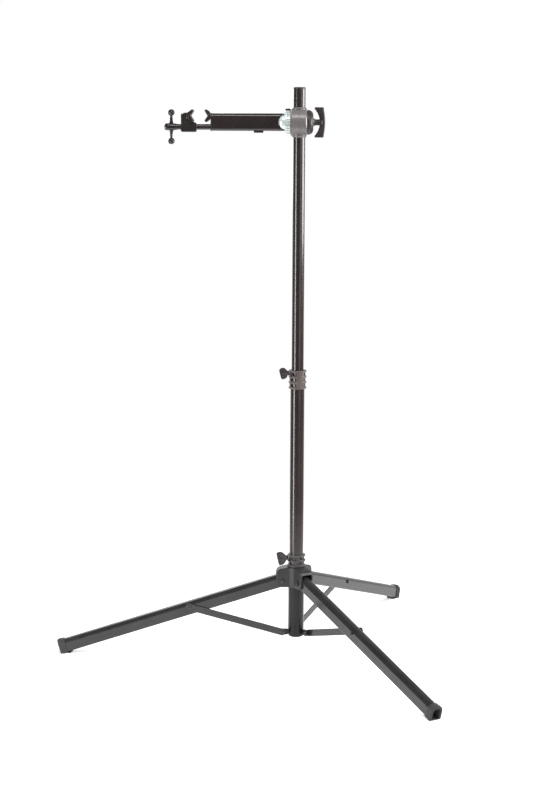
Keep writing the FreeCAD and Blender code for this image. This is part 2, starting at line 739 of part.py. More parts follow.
def make_foot(number):
    """A rubber boot on the leg's end, with a flange, a recess and a sole that lies on the floor."""
    low = -dim.leg_height / 2 + dim.leg_pivot_drop
    high = dim.leg_height / 2 + dim.leg_pivot_drop
    half = dim.leg_width / 2
    body = new_body("leg_%d_foot" % number)
    sleeve = new_sketch(body, "YZ_Plane", leg_length - 50)
    rounded_box(sleeve, -half - 2, half + 2, low - 2, high + 2, dim.leg_edge + 2, dim.leg_crown + 2)
    extrude(body, sleeve, 50, symmetric=False)
    doc.recompute()
    flange = new_sketch(body, "YZ_Plane", leg_length - 15)
    rounded_box(flange, -half - 4, half + 4, low - 4, high + 4, dim.leg_edge + 3, dim.leg_crown + 4)
    extrude(body, flange, 15, symmetric=False)
    doc.recompute()
    socket = new_sketch(body, "YZ_Plane", leg_length - 51)
    rounded_box(socket, -half - 0.05, half + 0.05, low - 0.05, high + 0.05, dim.leg_edge, dim.leg_crown)
    cut(body, socket, 37.1, symmetric=False, reverse=True)
    recess = new_sketch(body, "YZ_Plane", leg_length - 10)
    rounded_box(recess, -half, half, low + 1, high - 1, dim.leg_edge, dim.leg_crown - 1)
    cut(body, recess, 12, symmetric=False, reverse=True)
    sole = new_sketch(body, "XZ_Plane")
    start, end = leg_length - 60, leg_length + 10

    def floor_at(along):
        return (along * sine(dim.leg_angle) - hub_pivot_height) / cosine(dim.leg_angle)

    outline(sole, [(start, floor_at(start)), (end, floor_at(end)), (end, low - 30), (start, low - 30)])
    cut(body, sole, dim.leg_width * 2)
    stand_on_leg(body, number)


def make_brace_bolt(number):
    """The bolt that joins a brace to its leg, with its nut beyond the leg."""
    outer = number_of(brace_side + dim.brace_thickness) + 0.2
    nut_side = -dim.leg_width.number / 2 - 5.05
    solids = []
    for solid in bolt_shape(outer, outer - nut_side, nut_side):
        solids.append(solid.translated(Vector(joint_across.number, 0, joint_up.number)))
    item = add_shape("leg_%d_brace_bolt" % number, solids)
    turn = math.radians(leg_turns[number])
    spot = Vector(dim.pivot_radius.number * math.cos(turn), dim.pivot_radius.number * math.sin(turn),
                  hub_pivot_height.number)
    item.Placement = Placement(spot, leg_rotation(number))


def make_brace(number):
    """A flat bar from the bottom collar's ear up to the leg, on the leg's left side."""
    body = new_body("brace_%d_bar" % number)
    middle = brace_side + dim.brace_thickness / 2
    sketch = new_sketch(body, "XZ_Plane", -middle)
    end = dim.brace_width / 2
    rounded_box(sketch, -end, dim.link_length + end, -end, end, end - 0.05, end - 0.05)
    extrude(body, sketch, dim.brace_thickness)
    doc.recompute()
    for along in (0, dim.link_length):
        sketch = new_sketch(body, "XZ_Plane", -middle)
        circle(sketch, dim.bolt_d + fit, along, 0)
        cut(body, sketch, dim.brace_thickness + 2)
    round_edges(body, 0.8, lambda edge: lies_along(edge, X_AXIS))
    turn = math.radians(leg_turns[number])
    rise = Rotation(Y_AXIS, -dim.link_angle.number)
    place(body, dim.pivot_radius * math.cos(turn), dim.pivot_radius * math.sin(turn),
          dim.brace_pivot_height, Rotation(Z_AXIS, leg_turns[number]).multiply(rise))


# ---------------------------------------------------------------- upper mast and head
def make_upper_mast():
    inner = dim.upper_tube_d - dim.tube_wall * 2
    length = dim.stand_height - 6 - dim.upper_tube_bottom
    body = ring("upper_mast_tube", dim.upper_tube_d, inner, length)
    bore_through(body, dim.draw_bolt_d + fit, 0, dim.arm_height - dim.upper_tube_bottom, dim.upper_tube_d * 2,
                 "YZ_Plane")
    place(body, z=dim.upper_tube_bottom)
    top = dim.upper_tube_d / 2
    cap = turned_piece("mast_top_cap", [
        (0, -14), (inner / 2 - 0.05, -14), (inner / 2 - 0.05, 0), (top, 0), (top, 4), (top - 2, 6), (0, 6)])
    place(cap, z=dim.stand_height - 6)


def make_upper_mast_glide():
    """The plastic shoe under the upper tube, which slides in the lower tube."""
    outer = (dim.lower_tube_d - dim.tube_wall * 2) / 2 - dim.fit_gap
    pivot = (dim.upper_tube_d - dim.tube_wall * 2) / 2 - dim.fit_gap
    body = turned_piece("upper_mast_glide", [
        (0, -12), (outer - 1, -12), (outer, -11), (outer, -0.3), (pivot, -0.3), (pivot, 22),
        (pivot - 3, 22), (pivot - 3, -6), (0, -6)])
    place(body, z=dim.upper_tube_bottom)


def make_head_half(label, side):
    """Half of the head casting: side is -1 towards the arm and +1 towards the knob."""
    body = new_body(label)
    drum = new_sketch(body, "XZ_Plane")
    radius = dim.head_d / 2
    left, right = -dim.head_left, dim.head_right
    outline(drum, [
        (left, 0), (left, radius - 5), (left + 4, radius), (right - 3, radius),
        (right, radius - 3), (right, 0)])
    revolve(body, drum, "H_Axis")
    neck = new_sketch(body, "XZ_Plane")
    reach = dim.neck_reach
    outline(neck, [
        (0, -reach), (dim.neck_d / 2 - 2.5, -reach), (dim.neck_d / 2, 4 - reach), (dim.neck_d / 2, reach - 4),
        (dim.neck_d / 2 - 2.5, reach), (0, reach)])
    revolve(body, neck)
    mast_bore = new_sketch(body, "XY_Plane")
    circle(mast_bore, dim.upper_tube_d + 0.1)
    cut(body, mast_bore, dim.head_d * 2)
    bore_through(body, dim.draw_bolt_d + fit, 0, 0, dim.head_d * 2, "YZ_Plane")
    away = new_sketch(body, "XZ_Plane")
    edge = 0.2 * side
    far = -60 * side
    outline(away, [(min(edge, far), -60), (max(edge, far), -60), (max(edge, far), 60), (min(edge, far), 60)])
    cut(body, away, dim.head_d * 2)
    place(body, z=dim.arm_height)


def make_head_dome():
    start = dim.head_right + 0.1
    end = start + dim.dome_length
    radius = dim.dome_d / 2
    hole = (dim.draw_bolt_d + fit) / 2
    body = turned_piece("head_dome_cap", [
        (start, hole), (start, radius), (end, radius), (end, hole)], "H_Axis")
    round_edges(body, 16, lambda edge: ring_edge_at(edge, X_AXIS, end, radius))
    place(body, z=dim.arm_height)


ring_right = -dim.head_left - 0.1
ring_split = ring_right - dim.ring_length
ring_left = ring_split - 0.4 - dim.ring_length


def notch_rim(body, left, right):
    """Cut square notches into the rim of a drum on the X axis."""
    sketch = new_sketch(body, "YZ_Plane", left - 1)
    width = dim.ring_d * math.pi / dim.ring_teeth.number / 2
    rounded_box(sketch, -width / 2, width / 2, dim.ring_d / 2 - 3, dim.ring_d / 2 + 2, 0.4, 0.4)
    notch = cut(body, sketch, right - left + 2, symmetric=False, reverse=True)
    repeat_round(body, notch, dim.ring_teeth, "X_Axis")


def make_index_rings():
    """Two zinc-plated rings that lock the arm at its angle: one on the head and one on the arm."""
    hole = (dim.draw_bolt_d + fit) / 2
    fixed = turned_piece("head_index_ring", [
        (ring_split, hole), (ring_split, dim.ring_d / 2), (ring_right, dim.ring_d / 2), (ring_right, hole)],
        "H_Axis")
    notch_rim(fixed, ring_split, ring_right)
    place(fixed, z=dim.arm_height)
    nose = dim.nose_d / 2
    arm_side = turned_piece("arm_index_dome", [
        (-dim.nose_left, hole), (-dim.nose_left, nose), (ring_left, nose), (ring_left, dim.ring_d / 2),
        (ring_split - 0.4, dim.ring_d / 2), (ring_split - 0.4, hole)], "H_Axis")
    notch_rim(arm_side, ring_left, ring_split - 0.4)
    round_edges(arm_side, 15, lambda edge: ring_edge_at(edge, X_AXIS, -dim.nose_left, nose))
    place(arm_side, z=dim.arm_height)


def make_index_pointer():
    """The small plastic pointer on the head, over the rings."""
    body = new_body("index_pointer")
    sketch = new_sketch(body, "XZ_Plane")
    bottom = dim.ring_d / 2 + 0.6
    outline(sketch, [
        (ring_left + 1, bottom), (-dim.head_left, bottom), (-dim.head_left, bottom + 6),
        (ring_left + 3, bottom + 6), (ring_left + 1, bottom + 4)])
    extrude(body, sketch, 11)
    place(body, z=dim.arm_height)


def make_head_knob():
    """The big knob, bowed back at both tips, and the bolt that it turns."""
    start = dim.head_right + 0.1 + dim.dome_length + dim.washer_thickness + 0.4
    reach = 80.8 - start.number
    half = dim.wing_length / 2
    body = turned_piece("head_knob", [
        (start, 0), (start, 11), (start + 3, 9.5), (start + 18, 9.5), (start + 24, 13), (start + 24, 0)],
        "H_Axis")
    wing = new_sketch(body, "XZ_Plane")
    end = start + reach
    lower = [(start + 20, -10), (end - 17, -22), (end - 31, -half + 6), (end - 30, -half), (end - 4, -half),
             (end - 3, -half + 12)]
    upper = [(across, -up) for across, up in reversed(lower)]
    outline(wing, lower + [(end, 0)] + upper)
    extrude(body, wing, 22)
    round_edges(body, 3, lambda edge: lies_along(edge, Y_AXIS) and abs(edge.CenterOfMass.z) > 30)
    hole = new_sketch(body, "YZ_Plane", start - 1)
    circle(hole, dim.draw_bolt_d)
    cut(body, hole, 21, symmetric=False, reverse=True)
    place(body, z=dim.arm_height)
    radius = dim.draw_bolt_d / 2
    tip = -dim.nose_left - 3.5
    bolt = turned_piece("draw_bolt", [
        (tip, 0), (tip, radius - 2), (tip + 2, radius), (start + 19, radius), (start + 19, 0)], "H_Axis")
    place(bolt, z=dim.arm_height)
    make_washer("head_knob_washer", dim.arm_height, dim.head_right + 0.1 + dim.dome_length, dim.draw_bolt_d,
                dim.draw_bolt_d * 2.2, Rotation())


# ---------------------------------------------------------------- clamp arm
def make_arm_tube():
    half, tall = dim.arm_deep / 2, dim.arm_tall / 2
    length = dim.arm_left - dim.arm_right
    body = new_body("arm_tube")
    sketch = new_sketch(body, "YZ_Plane", -dim.arm_left)
    rounded_box(sketch, -half, half, -tall, tall, dim.arm_corner, dim.arm_corner)
    extrude(body, sketch, length, symmetric=False)
    doc.recompute()
    wall = dim.arm_wall
    sketch = new_sketch(body, "YZ_Plane", -dim.arm_left - 1)
    rounded_box(sketch, wall - half, half - wall, wall - tall, tall - wall, dim.arm_corner - wall,
                dim.arm_corner - wall)
    cut(body, sketch, length + 2, symmetric=False, reverse=True)
    bore_through(body, dim.arm_notch_d, -dim.arm_notch_centre, 0, dim.arm_deep + 2)
    window = new_sketch(body, "XY_Plane", -tall)
    rounded_box(window, -dim.button_left - 0.5, -dim.button_right + 0.5, -11.5, 11.5, 1.5, 1.5)
    cut(body, window, dim.arm_wall * 3)
    place(body, z=dim.arm_height)


def make_arm_end_guide():
    """The block in the arm's free end: it guides the jaw rod and carries the fixed jaw."""
    half, tall = dim.arm_deep / 2, dim.arm_tall / 2
    inset = dim.arm_wall + 0.1
    body = new_body("arm_end_guide")
    sketch = new_sketch(body, "YZ_Plane", 1 - dim.fixed_jaw_back)
    rounded_box(sketch, inset - half, half - inset, inset - tall, tall - inset, dim.arm_corner - inset,
                dim.arm_corner - inset)
    extrude(body, sketch, 50, symmetric=False)
    doc.recompute()
    flange = new_sketch(body, "YZ_Plane", -dim.fixed_jaw_back)
    rounded_box(flange, -half - 0.8, half + 0.8, -tall - 0.8, tall + 0.8, dim.arm_corner + 0.8,
                dim.arm_corner + 0.8)
    extrude(body, flange, dim.fixed_jaw_back - dim.arm_left - 0.05, symmetric=False)
    doc.recompute()
    hole = new_sketch(body, "YZ_Plane", -dim.fixed_jaw_back - 1)
    circle(hole, dim.rod_d + fit, 0, -dim.rod_drop)
    cut(body, hole, 60, symmetric=False, reverse=True)
    place(body, z=dim.arm_height)


def jaw_outline(back, side):
    """A V jaw in side view; side is +1 when it opens towards -X and -1 towards +X."""
    half, plate, depth = dim.jaw_half, dim.jaw_plate, dim.jaw_v
    middle = dim.jaw_rise

    def spot(out, up):
        return (-back - out * side, middle + up)

    tip = plate + depth
    return [spot(0.05, -10), spot(tip - 4, -half), spot(tip, 3 - half), spot(plate, 0), spot(tip, half - 3),
            spot(tip - 4, half), spot(0.05, 9)]


def pad_outline(back, side):
    """The rubber liner of a V jaw, laid along its two inner faces."""
    half, plate, depth, rubber = dim.jaw_half, dim.jaw_plate, dim.jaw_v, dim.pad_thickness
    middle = dim.jaw_rise

    def spot(out, up):
        return (-back - out * side, middle + up)

    tip = plate + depth
    skin = plate + 0.1
    return [spot(skin, 0), spot(tip + 0.1, 3 - half), spot(tip + rubber, 4.5 - half), spot(skin + rubber, 0),
            spot(tip + rubber, half - 4.5), spot(tip + 0.1, half - 3)]


def make_jaw(name, back, side):
    body = new_body(name + "_jaw")
    sketch = new_sketch(body, "XZ_Plane")
    outline(sketch, jaw_outline(back, side))
    extrude(body, sketch, dim.jaw_deep)
    round_edges(body, 1.5, lambda edge: lies_along(edge, Y_AXIS) and abs(edge.CenterOfMass.z - 19) > 16)
    place(body, z=dim.arm_height)
    pad = new_body(name + "_jaw_pad")
    sketch = new_sketch(pad, "XZ_Plane")
    outline(sketch, pad_outline(back, side))
    extrude(pad, sketch, dim.jaw_deep - 2)
    place(pad, z=dim.arm_height)


def make_jaw_rod():
    """The bar that carries the moving jaw: bored for the screw, with a rack on its inner end."""
    radius = dim.rod_d / 2
    left, right = -dim.rod_left, -dim.rod_right
    bore = dim.rod_bore_d / 2
    body = turned_piece("jaw_rod", [
        (left, bore), (left, radius - 1), (left + 1, radius), (right - 2, radius), (right, radius - 2),
        (right, 0), (left + dim.rod_bore_depth, 0), (left + dim.rod_bore_depth, bore)], "H_Axis")
    flat = new_sketch(body, "XZ_Plane")
    outline(flat, [(-dim.rack_left, radius - dim.rack_depth), (right + 1, radius - dim.rack_depth),
                   (right + 1, radius + 1), (-dim.rack_left, radius + 1)])
    cut(body, flat, dim.rod_d + 2)
    tooth = new_sketch(body, "XZ_Plane")
    level = radius - dim.rack_depth
    start = -dim.rack_left + 3
    outline(tooth, [(start, level - 1.6), (start + dim.rack_pitch - 1.2, level + 0.5), (start, level + 0.5)])
    gap = cut(body, tooth, dim.rod_d + 2)
    pattern = body.newObject("PartDesign::LinearPattern", "jaw_rod_rack")
    pattern.Originals = [gap]
    pattern.Direction = ([item for item in body.Origin.OriginFeatures if item.Role == "X_Axis"][0], [""])
    bind(pattern, "Length", dim.rack_pitch * (dim.rack_teeth - 1))
    pattern.Occurrences = int(dim.rack_teeth.number)
    body.Tip = pattern
    doc.recompute()
    place(body, z=dim.arm_height - dim.rod_drop)
    nut = turned_piece("spindle_nut", [
        (left + 0.5, dim.screw_d / 2 + dim.fit_gap), (left + 0.5, bore - 0.05), (left + 20, bore - 0.05),
        (left + 20, dim.screw_d / 2 + dim.fit_gap)], "H_Axis")
    place(nut, z=dim.arm_height - dim.rod_drop)


def make_jaw_carrier():
    """The casting that slides on the rod and holds the moving jaw."""
    left, right = -dim.carrier_left, -dim.carrier_right
    back = -dim.moving_jaw_back
    drop = dim.rod_drop
    body = new_body("jaw_carrier")
    side = new_sketch(body, "XZ_Plane")
    outline(side, [
        (left, -drop - 13), (left + 3, -drop - 16), (right - 2, -drop - 16), (right, -drop - 14),
        (right, 11.5 - drop), (right - 6, 13 - drop), (back + 5, 15 - drop), (back - 0.1, 6),
        (back - 0.1, 27.5), (back - 5, 29), (left + 8, 27), (left + 5, 25), (left, 25)])
    extrude(body, side, dim.carrier_deep)
    round_edges(body, 4, lambda edge: lies_along(edge, X_AXIS) and edge.CenterOfMass.z < -25)
    wall = left + 6.5
    hole = new_sketch(body, "YZ_Plane", wall)
    circle(hole, dim.rod_d + fit, 0, -drop)
    cut(body, hole, 60, symmetric=False, reverse=True)
    journal = new_sketch(body, "YZ_Plane", left - 1)
    circle(journal, dim.screw_d + fit, 0, -drop)
    cut(body, journal, 10, symmetric=False, reverse=True)
    place(body, z=dim.arm_height)


def make_spindle():
    """The screw, its thrust collar inside the carrier, and the handle that turns it."""
    height = dim.arm_height - dim.rod_drop
    wall = -dim.carrier_left + 6.5
    radius = dim.screw_d / 2
    screw_end = 4.8 - dim.handle_bar_x
    tip = 56 - dim.rod_left
    screw = turned_piece("spindle_screw", [
        (screw_end, 0), (screw_end, radius), (wall + 0.3, radius), (wall + 0.3, 7.5),
        (wall + 2.3, 7.5), (wall + 2.3, radius), (tip - 1, radius), (tip, radius - 1), (tip, 0)], "H_Axis")
    place(screw, z=height)
    end = -dim.carrier_left - 0.3
    start = -dim.handle_left
    neck, full = dim.handle_neck_d / 2, dim.handle_d / 2
    middle = -dim.handle_bar_x
    barrel = turned_piece("handle_barrel", [
        (start, 0), (start, full - 5), (start + 2, full - 2), (start + 6, full - 0.5), (middle, full),
        (middle + 10, full - 0.8), (end - 6, neck + 0.5), (end, neck), (end, radius + 0.02),
        (screw_end - 0.1, radius + 0.02), (screw_end - 0.1, 0)], "H_Axis")
    cross = new_sketch(barrel, "XY_Plane")
    circle(cross, 9.1, middle)
    cut(barrel, cross, dim.handle_d * 2)
    place(barrel, z=height)
    reach = dim.handle_ball_reach
    ball = dim.handle_ball_d.number / 2
    rod = Part.makeCylinder(4.5, 2 * reach.number, Vector(0, 0, -reach.number))
    solids = rod
    for sign in (-1, 1):
        arm = Part.makeCone(6, 4.2, reach.number - full.number, Vector(0, 0, sign * full.number),
                            Vector(0, 0, sign))
        solids = solids.fuse(arm)
        solids = solids.fuse(Part.makeSphere(ball, Vector(0, 0, sign * reach.number)))
    bar = add_shape("handle_bar", [solids.removeSplitter()])
    bar.Placement = Placement(Vector(middle.number, 0, height.number), Rotation())


def make_release_button():
    """A stirrup round the rod: its pad is pushed up to lift its tooth from the rack."""
    left, right = -dim.button_left, -dim.button_right
    low = -dim.arm_tall / 2 - 5.5
    rod_bottom = -dim.rod_drop - dim.rod_d / 2
    rod_top = dim.rod_d / 2 - dim.rod_drop
    body = new_body("release_button")
    sketch = new_sketch(body, "YZ_Plane", left)
    rounded_box(sketch, -11, 11, low, 5, 1.5, 1.5)
    extrude(body, sketch, right - left, symmetric=False)
    doc.recompute()
    window = new_sketch(body, "YZ_Plane", left - 1)
    floor = rod_bottom - dim.button_travel - 0.4
    rounded_box(window, -dim.rod_d / 2 - 0.4, dim.rod_d / 2 + 0.4, floor, rod_top + 0.4, 0.5, 0.5)
    cut(body, window, right - left + 2, symmetric=False, reverse=True)
    tooth = new_sketch(body, "XZ_Plane")
    tip = rod_top - dim.rack_depth + 0.4
    middle = (left + right) / 2
    outline(tooth, [
        (middle - 3, rod_top + 0.6), (middle - 0.8, tip), (middle + 0.8, tip), (middle + 1, rod_top + 0.6)])
    extrude(body, tooth, 10)
    place(body, z=dim.arm_height)


def make_release_spring():
    """The spring that holds the button down, between its top and the arm's ceiling."""
    bottom = 5.2
    wire = 1.2
    top = dim.arm_tall.number / 2 - dim.arm_wall.number - wire
    coil_radius = 5.5
    spine = Part.makeHelix((top - bottom - wire) / 5, top - bottom - wire, coil_radius)
    section = Part.Wire(Part.Circle(Vector(coil_radius, 0, 0), Y_AXIS, wire / 2).toShape())
    coil = Part.Wire(spine).makePipeShell([section], True, True)
    item = add_shape("release_spring", [coil])
    across = -(dim.button_left + dim.button_right).number / 2
    item.Placement = Placement(Vector(across, 0, dim.arm_height.number + bottom + wire / 2), Rotation())


# ---------------------------------------------------------------- build and export
make_lower_mast_tube()
make_bottom_collar()
make_base_bolts()
make_hub_sleeve()
make_hub_bushes()
make_hub_casting()
make_hub_collar()
make_mid_collar()
make_mid_collar_bush()
make_collar_knobs()
for leg_number in (1, 2, 3):
    make_leg_tube(leg_number)
    make_leg_insert(leg_number)
    make_foot(leg_number)
    make_brace_bolt(leg_number)
    make_brace(leg_number)
make_upper_mast()
make_upper_mast_glide()
make_head_half("head_half_left", -1)
make_head_half("head_half_right", 1)
make_head_dome()
make_index_rings()
make_index_pointer()
make_head_knob()
make_arm_tube()
make_arm_end_guide()
make_jaw("fixed", dim.fixed_jaw_back, 1)
make_jaw("moving", dim.moving_jaw_back, -1)
make_jaw_rod()
make_jaw_carrier()
make_spindle()
make_release_button()
make_release_spring()
doc.recompute()

for item in doc.Objects:
    if "Invalid" in item.State or "Error" in item.State:
        raise RuntimeError("%s did not recompute: %s" % (item.Label, item.State))
for item in sub_parts:
    if item.Shape.isNull() or not item.Shape.isValid() or not item.Shape.Solids:
        raise RuntimeError("%s has no valid shape" % item.Label)

os.makedirs("parts", exist_ok=True)
for item in sub_parts:
    item.Shape.exportStep("parts/%s.step" % item.Label)
print("%d sub-parts written" % len(sub_parts))
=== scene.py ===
"""Looks of the bike repair stand: materials, detailed pieces, lights and camera.

Metres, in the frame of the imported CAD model: the origin is on the floor under the mast,
+Z runs up the mast, and the clamp arm reaches towards -X.
"""
import json
import math
import bmesh
import bpy
from mathutils import Matrix, Vector


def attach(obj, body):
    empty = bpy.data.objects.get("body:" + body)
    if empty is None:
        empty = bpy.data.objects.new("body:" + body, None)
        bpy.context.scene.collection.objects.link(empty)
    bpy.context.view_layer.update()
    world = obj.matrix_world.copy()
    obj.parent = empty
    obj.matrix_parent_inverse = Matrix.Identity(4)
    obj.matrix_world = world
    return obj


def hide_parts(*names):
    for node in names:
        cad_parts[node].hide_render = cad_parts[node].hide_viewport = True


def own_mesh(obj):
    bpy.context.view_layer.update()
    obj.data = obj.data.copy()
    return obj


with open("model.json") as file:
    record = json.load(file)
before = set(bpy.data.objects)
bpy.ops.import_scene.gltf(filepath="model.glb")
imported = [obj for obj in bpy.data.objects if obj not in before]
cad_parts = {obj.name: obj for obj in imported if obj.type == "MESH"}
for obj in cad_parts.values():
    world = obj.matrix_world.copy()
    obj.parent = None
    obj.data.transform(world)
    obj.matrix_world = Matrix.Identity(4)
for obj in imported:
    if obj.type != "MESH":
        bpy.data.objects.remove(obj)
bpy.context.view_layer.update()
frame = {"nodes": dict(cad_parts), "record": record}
nodes = frame["nodes"]
scene = bpy.context.scene
MM = 0.001


# ---------------------------------------------------------------- node helpers
# A Mix node's colour sockets go by number, because other kinds of value share their names.
COLOUR_A, COLOUR_B, COLOUR_RESULT = 6, 7, 2


class Shader:
    """A small helper that adds and links the nodes of one material."""

    def __init__(self, name):
        self.material = bpy.data.materials.new(name)
        self.material.use_nodes = True
        self.tree = self.material.node_tree
        self.surface = self.tree.nodes["Principled BSDF"]
        self.place = self.add("ShaderNodeTexCoord").outputs["Object"]

    def add(self, kind, **settings):
        node = self.tree.nodes.new(kind)
        for name, value in settings.items():
            setattr(node, name, value)
        return node

    def link(self, source, target):
        self.tree.links.new(source, target)

    def stretched(self, scale):
        """Object coordinates scaled along each axis, for grain that runs one way."""
        mapping = self.add("ShaderNodeMapping")
        self.link(self.place, mapping.inputs["Vector"])
        mapping.inputs["Scale"].default_value = scale
        return mapping.outputs["Vector"]

    def noise(self, scale, detail=2.0, rough=0.5, vector=None):
        node = self.add("ShaderNodeTexNoise")
        self.link(vector or self.place, node.inputs["Vector"])
        node.inputs["Scale"].default_value = scale
        node.inputs["Detail"].default_value = detail
        node.inputs["Roughness"].default_value = rough
        return node.outputs["Fac"]

    def spread(self, value, low, high, from_low=0.3, from_high=0.7):
        """Maps a texture's middle range onto low..high."""
        node = self.add("ShaderNodeMapRange")
        self.link(value, node.inputs["Value"])
        node.inputs["From Min"].default_value = from_low
        node.inputs["From Max"].default_value = from_high
        node.inputs["To Min"].default_value = low
        node.inputs["To Max"].default_value = high
        return node.outputs["Result"]

    def mix(self, factor, first, second):
        """Mixes two colours, each a tuple or a socket."""
        node = self.add("ShaderNodeMix", data_type="RGBA")
        self.link(factor, node.inputs["Factor"])
        for socket, value in ((node.inputs[COLOUR_A], first), (node.inputs[COLOUR_B], second)):
            if isinstance(value, tuple):
                socket.default_value = (*value, 1.0)
            else:
                self.link(value, socket)
        return node.outputs[COLOUR_RESULT]

    def math(self, operation, first, second):
        node = self.add("ShaderNodeMath", operation=operation)
        for socket, value in zip(node.inputs, (first, second)):
            if isinstance(value, (int, float)):
                socket.default_value = value
            else:
                self.link(value, socket)
        return node.outputs[0]

    def bump(self, height, strength, distance, normal=None):
        node = self.add("ShaderNodeBump")
        self.link(height, node.inputs["Height"])
        node.inputs["Strength"].default_value = strength
        node.inputs["Distance"].default_value = distance
        if normal is not None:
            self.link(normal, node.inputs["Normal"])
        return node.outputs["Normal"]

    def edges(self, radius):
        """A mask that is 1 on sharp edges and 0 on flat faces, and the softened normal."""
        on_edge, on_flat = 0.80, 0.985
        bevel = self.add("ShaderNodeBevel", samples=4)
        bevel.inputs["Radius"].default_value = radius
        true_normal = self.add("ShaderNodeNewGeometry").outputs["True Normal"]
        same = self.add("ShaderNodeVectorMath", operation="DOT_PRODUCT")
        self.link(bevel.outputs["Normal"], same.inputs[0])
        self.link(true_normal, same.inputs[1])
        mask = self.spread(same.outputs["Value"], 1.0, 0.0, on_edge, on_flat)
        return mask, bevel.outputs["Normal"]


CLOUD_SCALE = 14.0
WEAR_SCALE = 220.0
CLOUD_SHARE, GRAIN_SHARE = 0.6, 0.4


def finish_material(name, colour, tint, roughness, grain, metallic=0.0, coat=0.0,
                    coat_roughness=0.1, bump=0.1, depth=0.00005, wear=(0.3, 0.28, 0.27),
                    wear_amount=0.35, edge=0.0006, stretch=None, specular=0.5, softened=True):
    """A solid finish: uneven colour and gloss, a fine grain, and paler rubbed edges.

    Colours run from colour to tint and roughness between its two numbers. The grain's scale is
    per metre, stretch scales it along each axis, and softened rounds sharp edges in the shading.
    """
    shader = Shader(name)
    surface = shader.surface
    cloudy = shader.noise(CLOUD_SCALE, detail=3.0, rough=0.6)
    fine = shader.noise(grain, rough=0.6, vector=shader.stretched(stretch) if stretch else None)
    base = shader.mix(shader.spread(cloudy, 0.0, 1.0), colour, tint)
    mask, normal = shader.edges(edge)
    patchy = shader.spread(shader.noise(WEAR_SCALE, detail=4.0, rough=0.7), 0.0, wear_amount)
    rubbed = shader.math("MULTIPLY", mask, patchy)
    shader.link(shader.mix(rubbed, base, wear), surface.inputs["Base Color"])
    uneven = shader.math("ADD", shader.math("MULTIPLY", cloudy, CLOUD_SHARE),
                         shader.math("MULTIPLY", fine, GRAIN_SHARE))
    shader.link(shader.spread(uneven, *roughness), surface.inputs["Roughness"])
    grained = shader.bump(fine, bump, depth, normal if softened else None)
    shader.link(grained, surface.inputs["Normal"])
    surface.inputs["Metallic"].default_value = metallic
    surface.inputs["Specular IOR Level"].default_value = specular
    surface.inputs["Coat Weight"].default_value = coat
    surface.inputs["Coat Roughness"].default_value = coat_roughness
    return shader.material


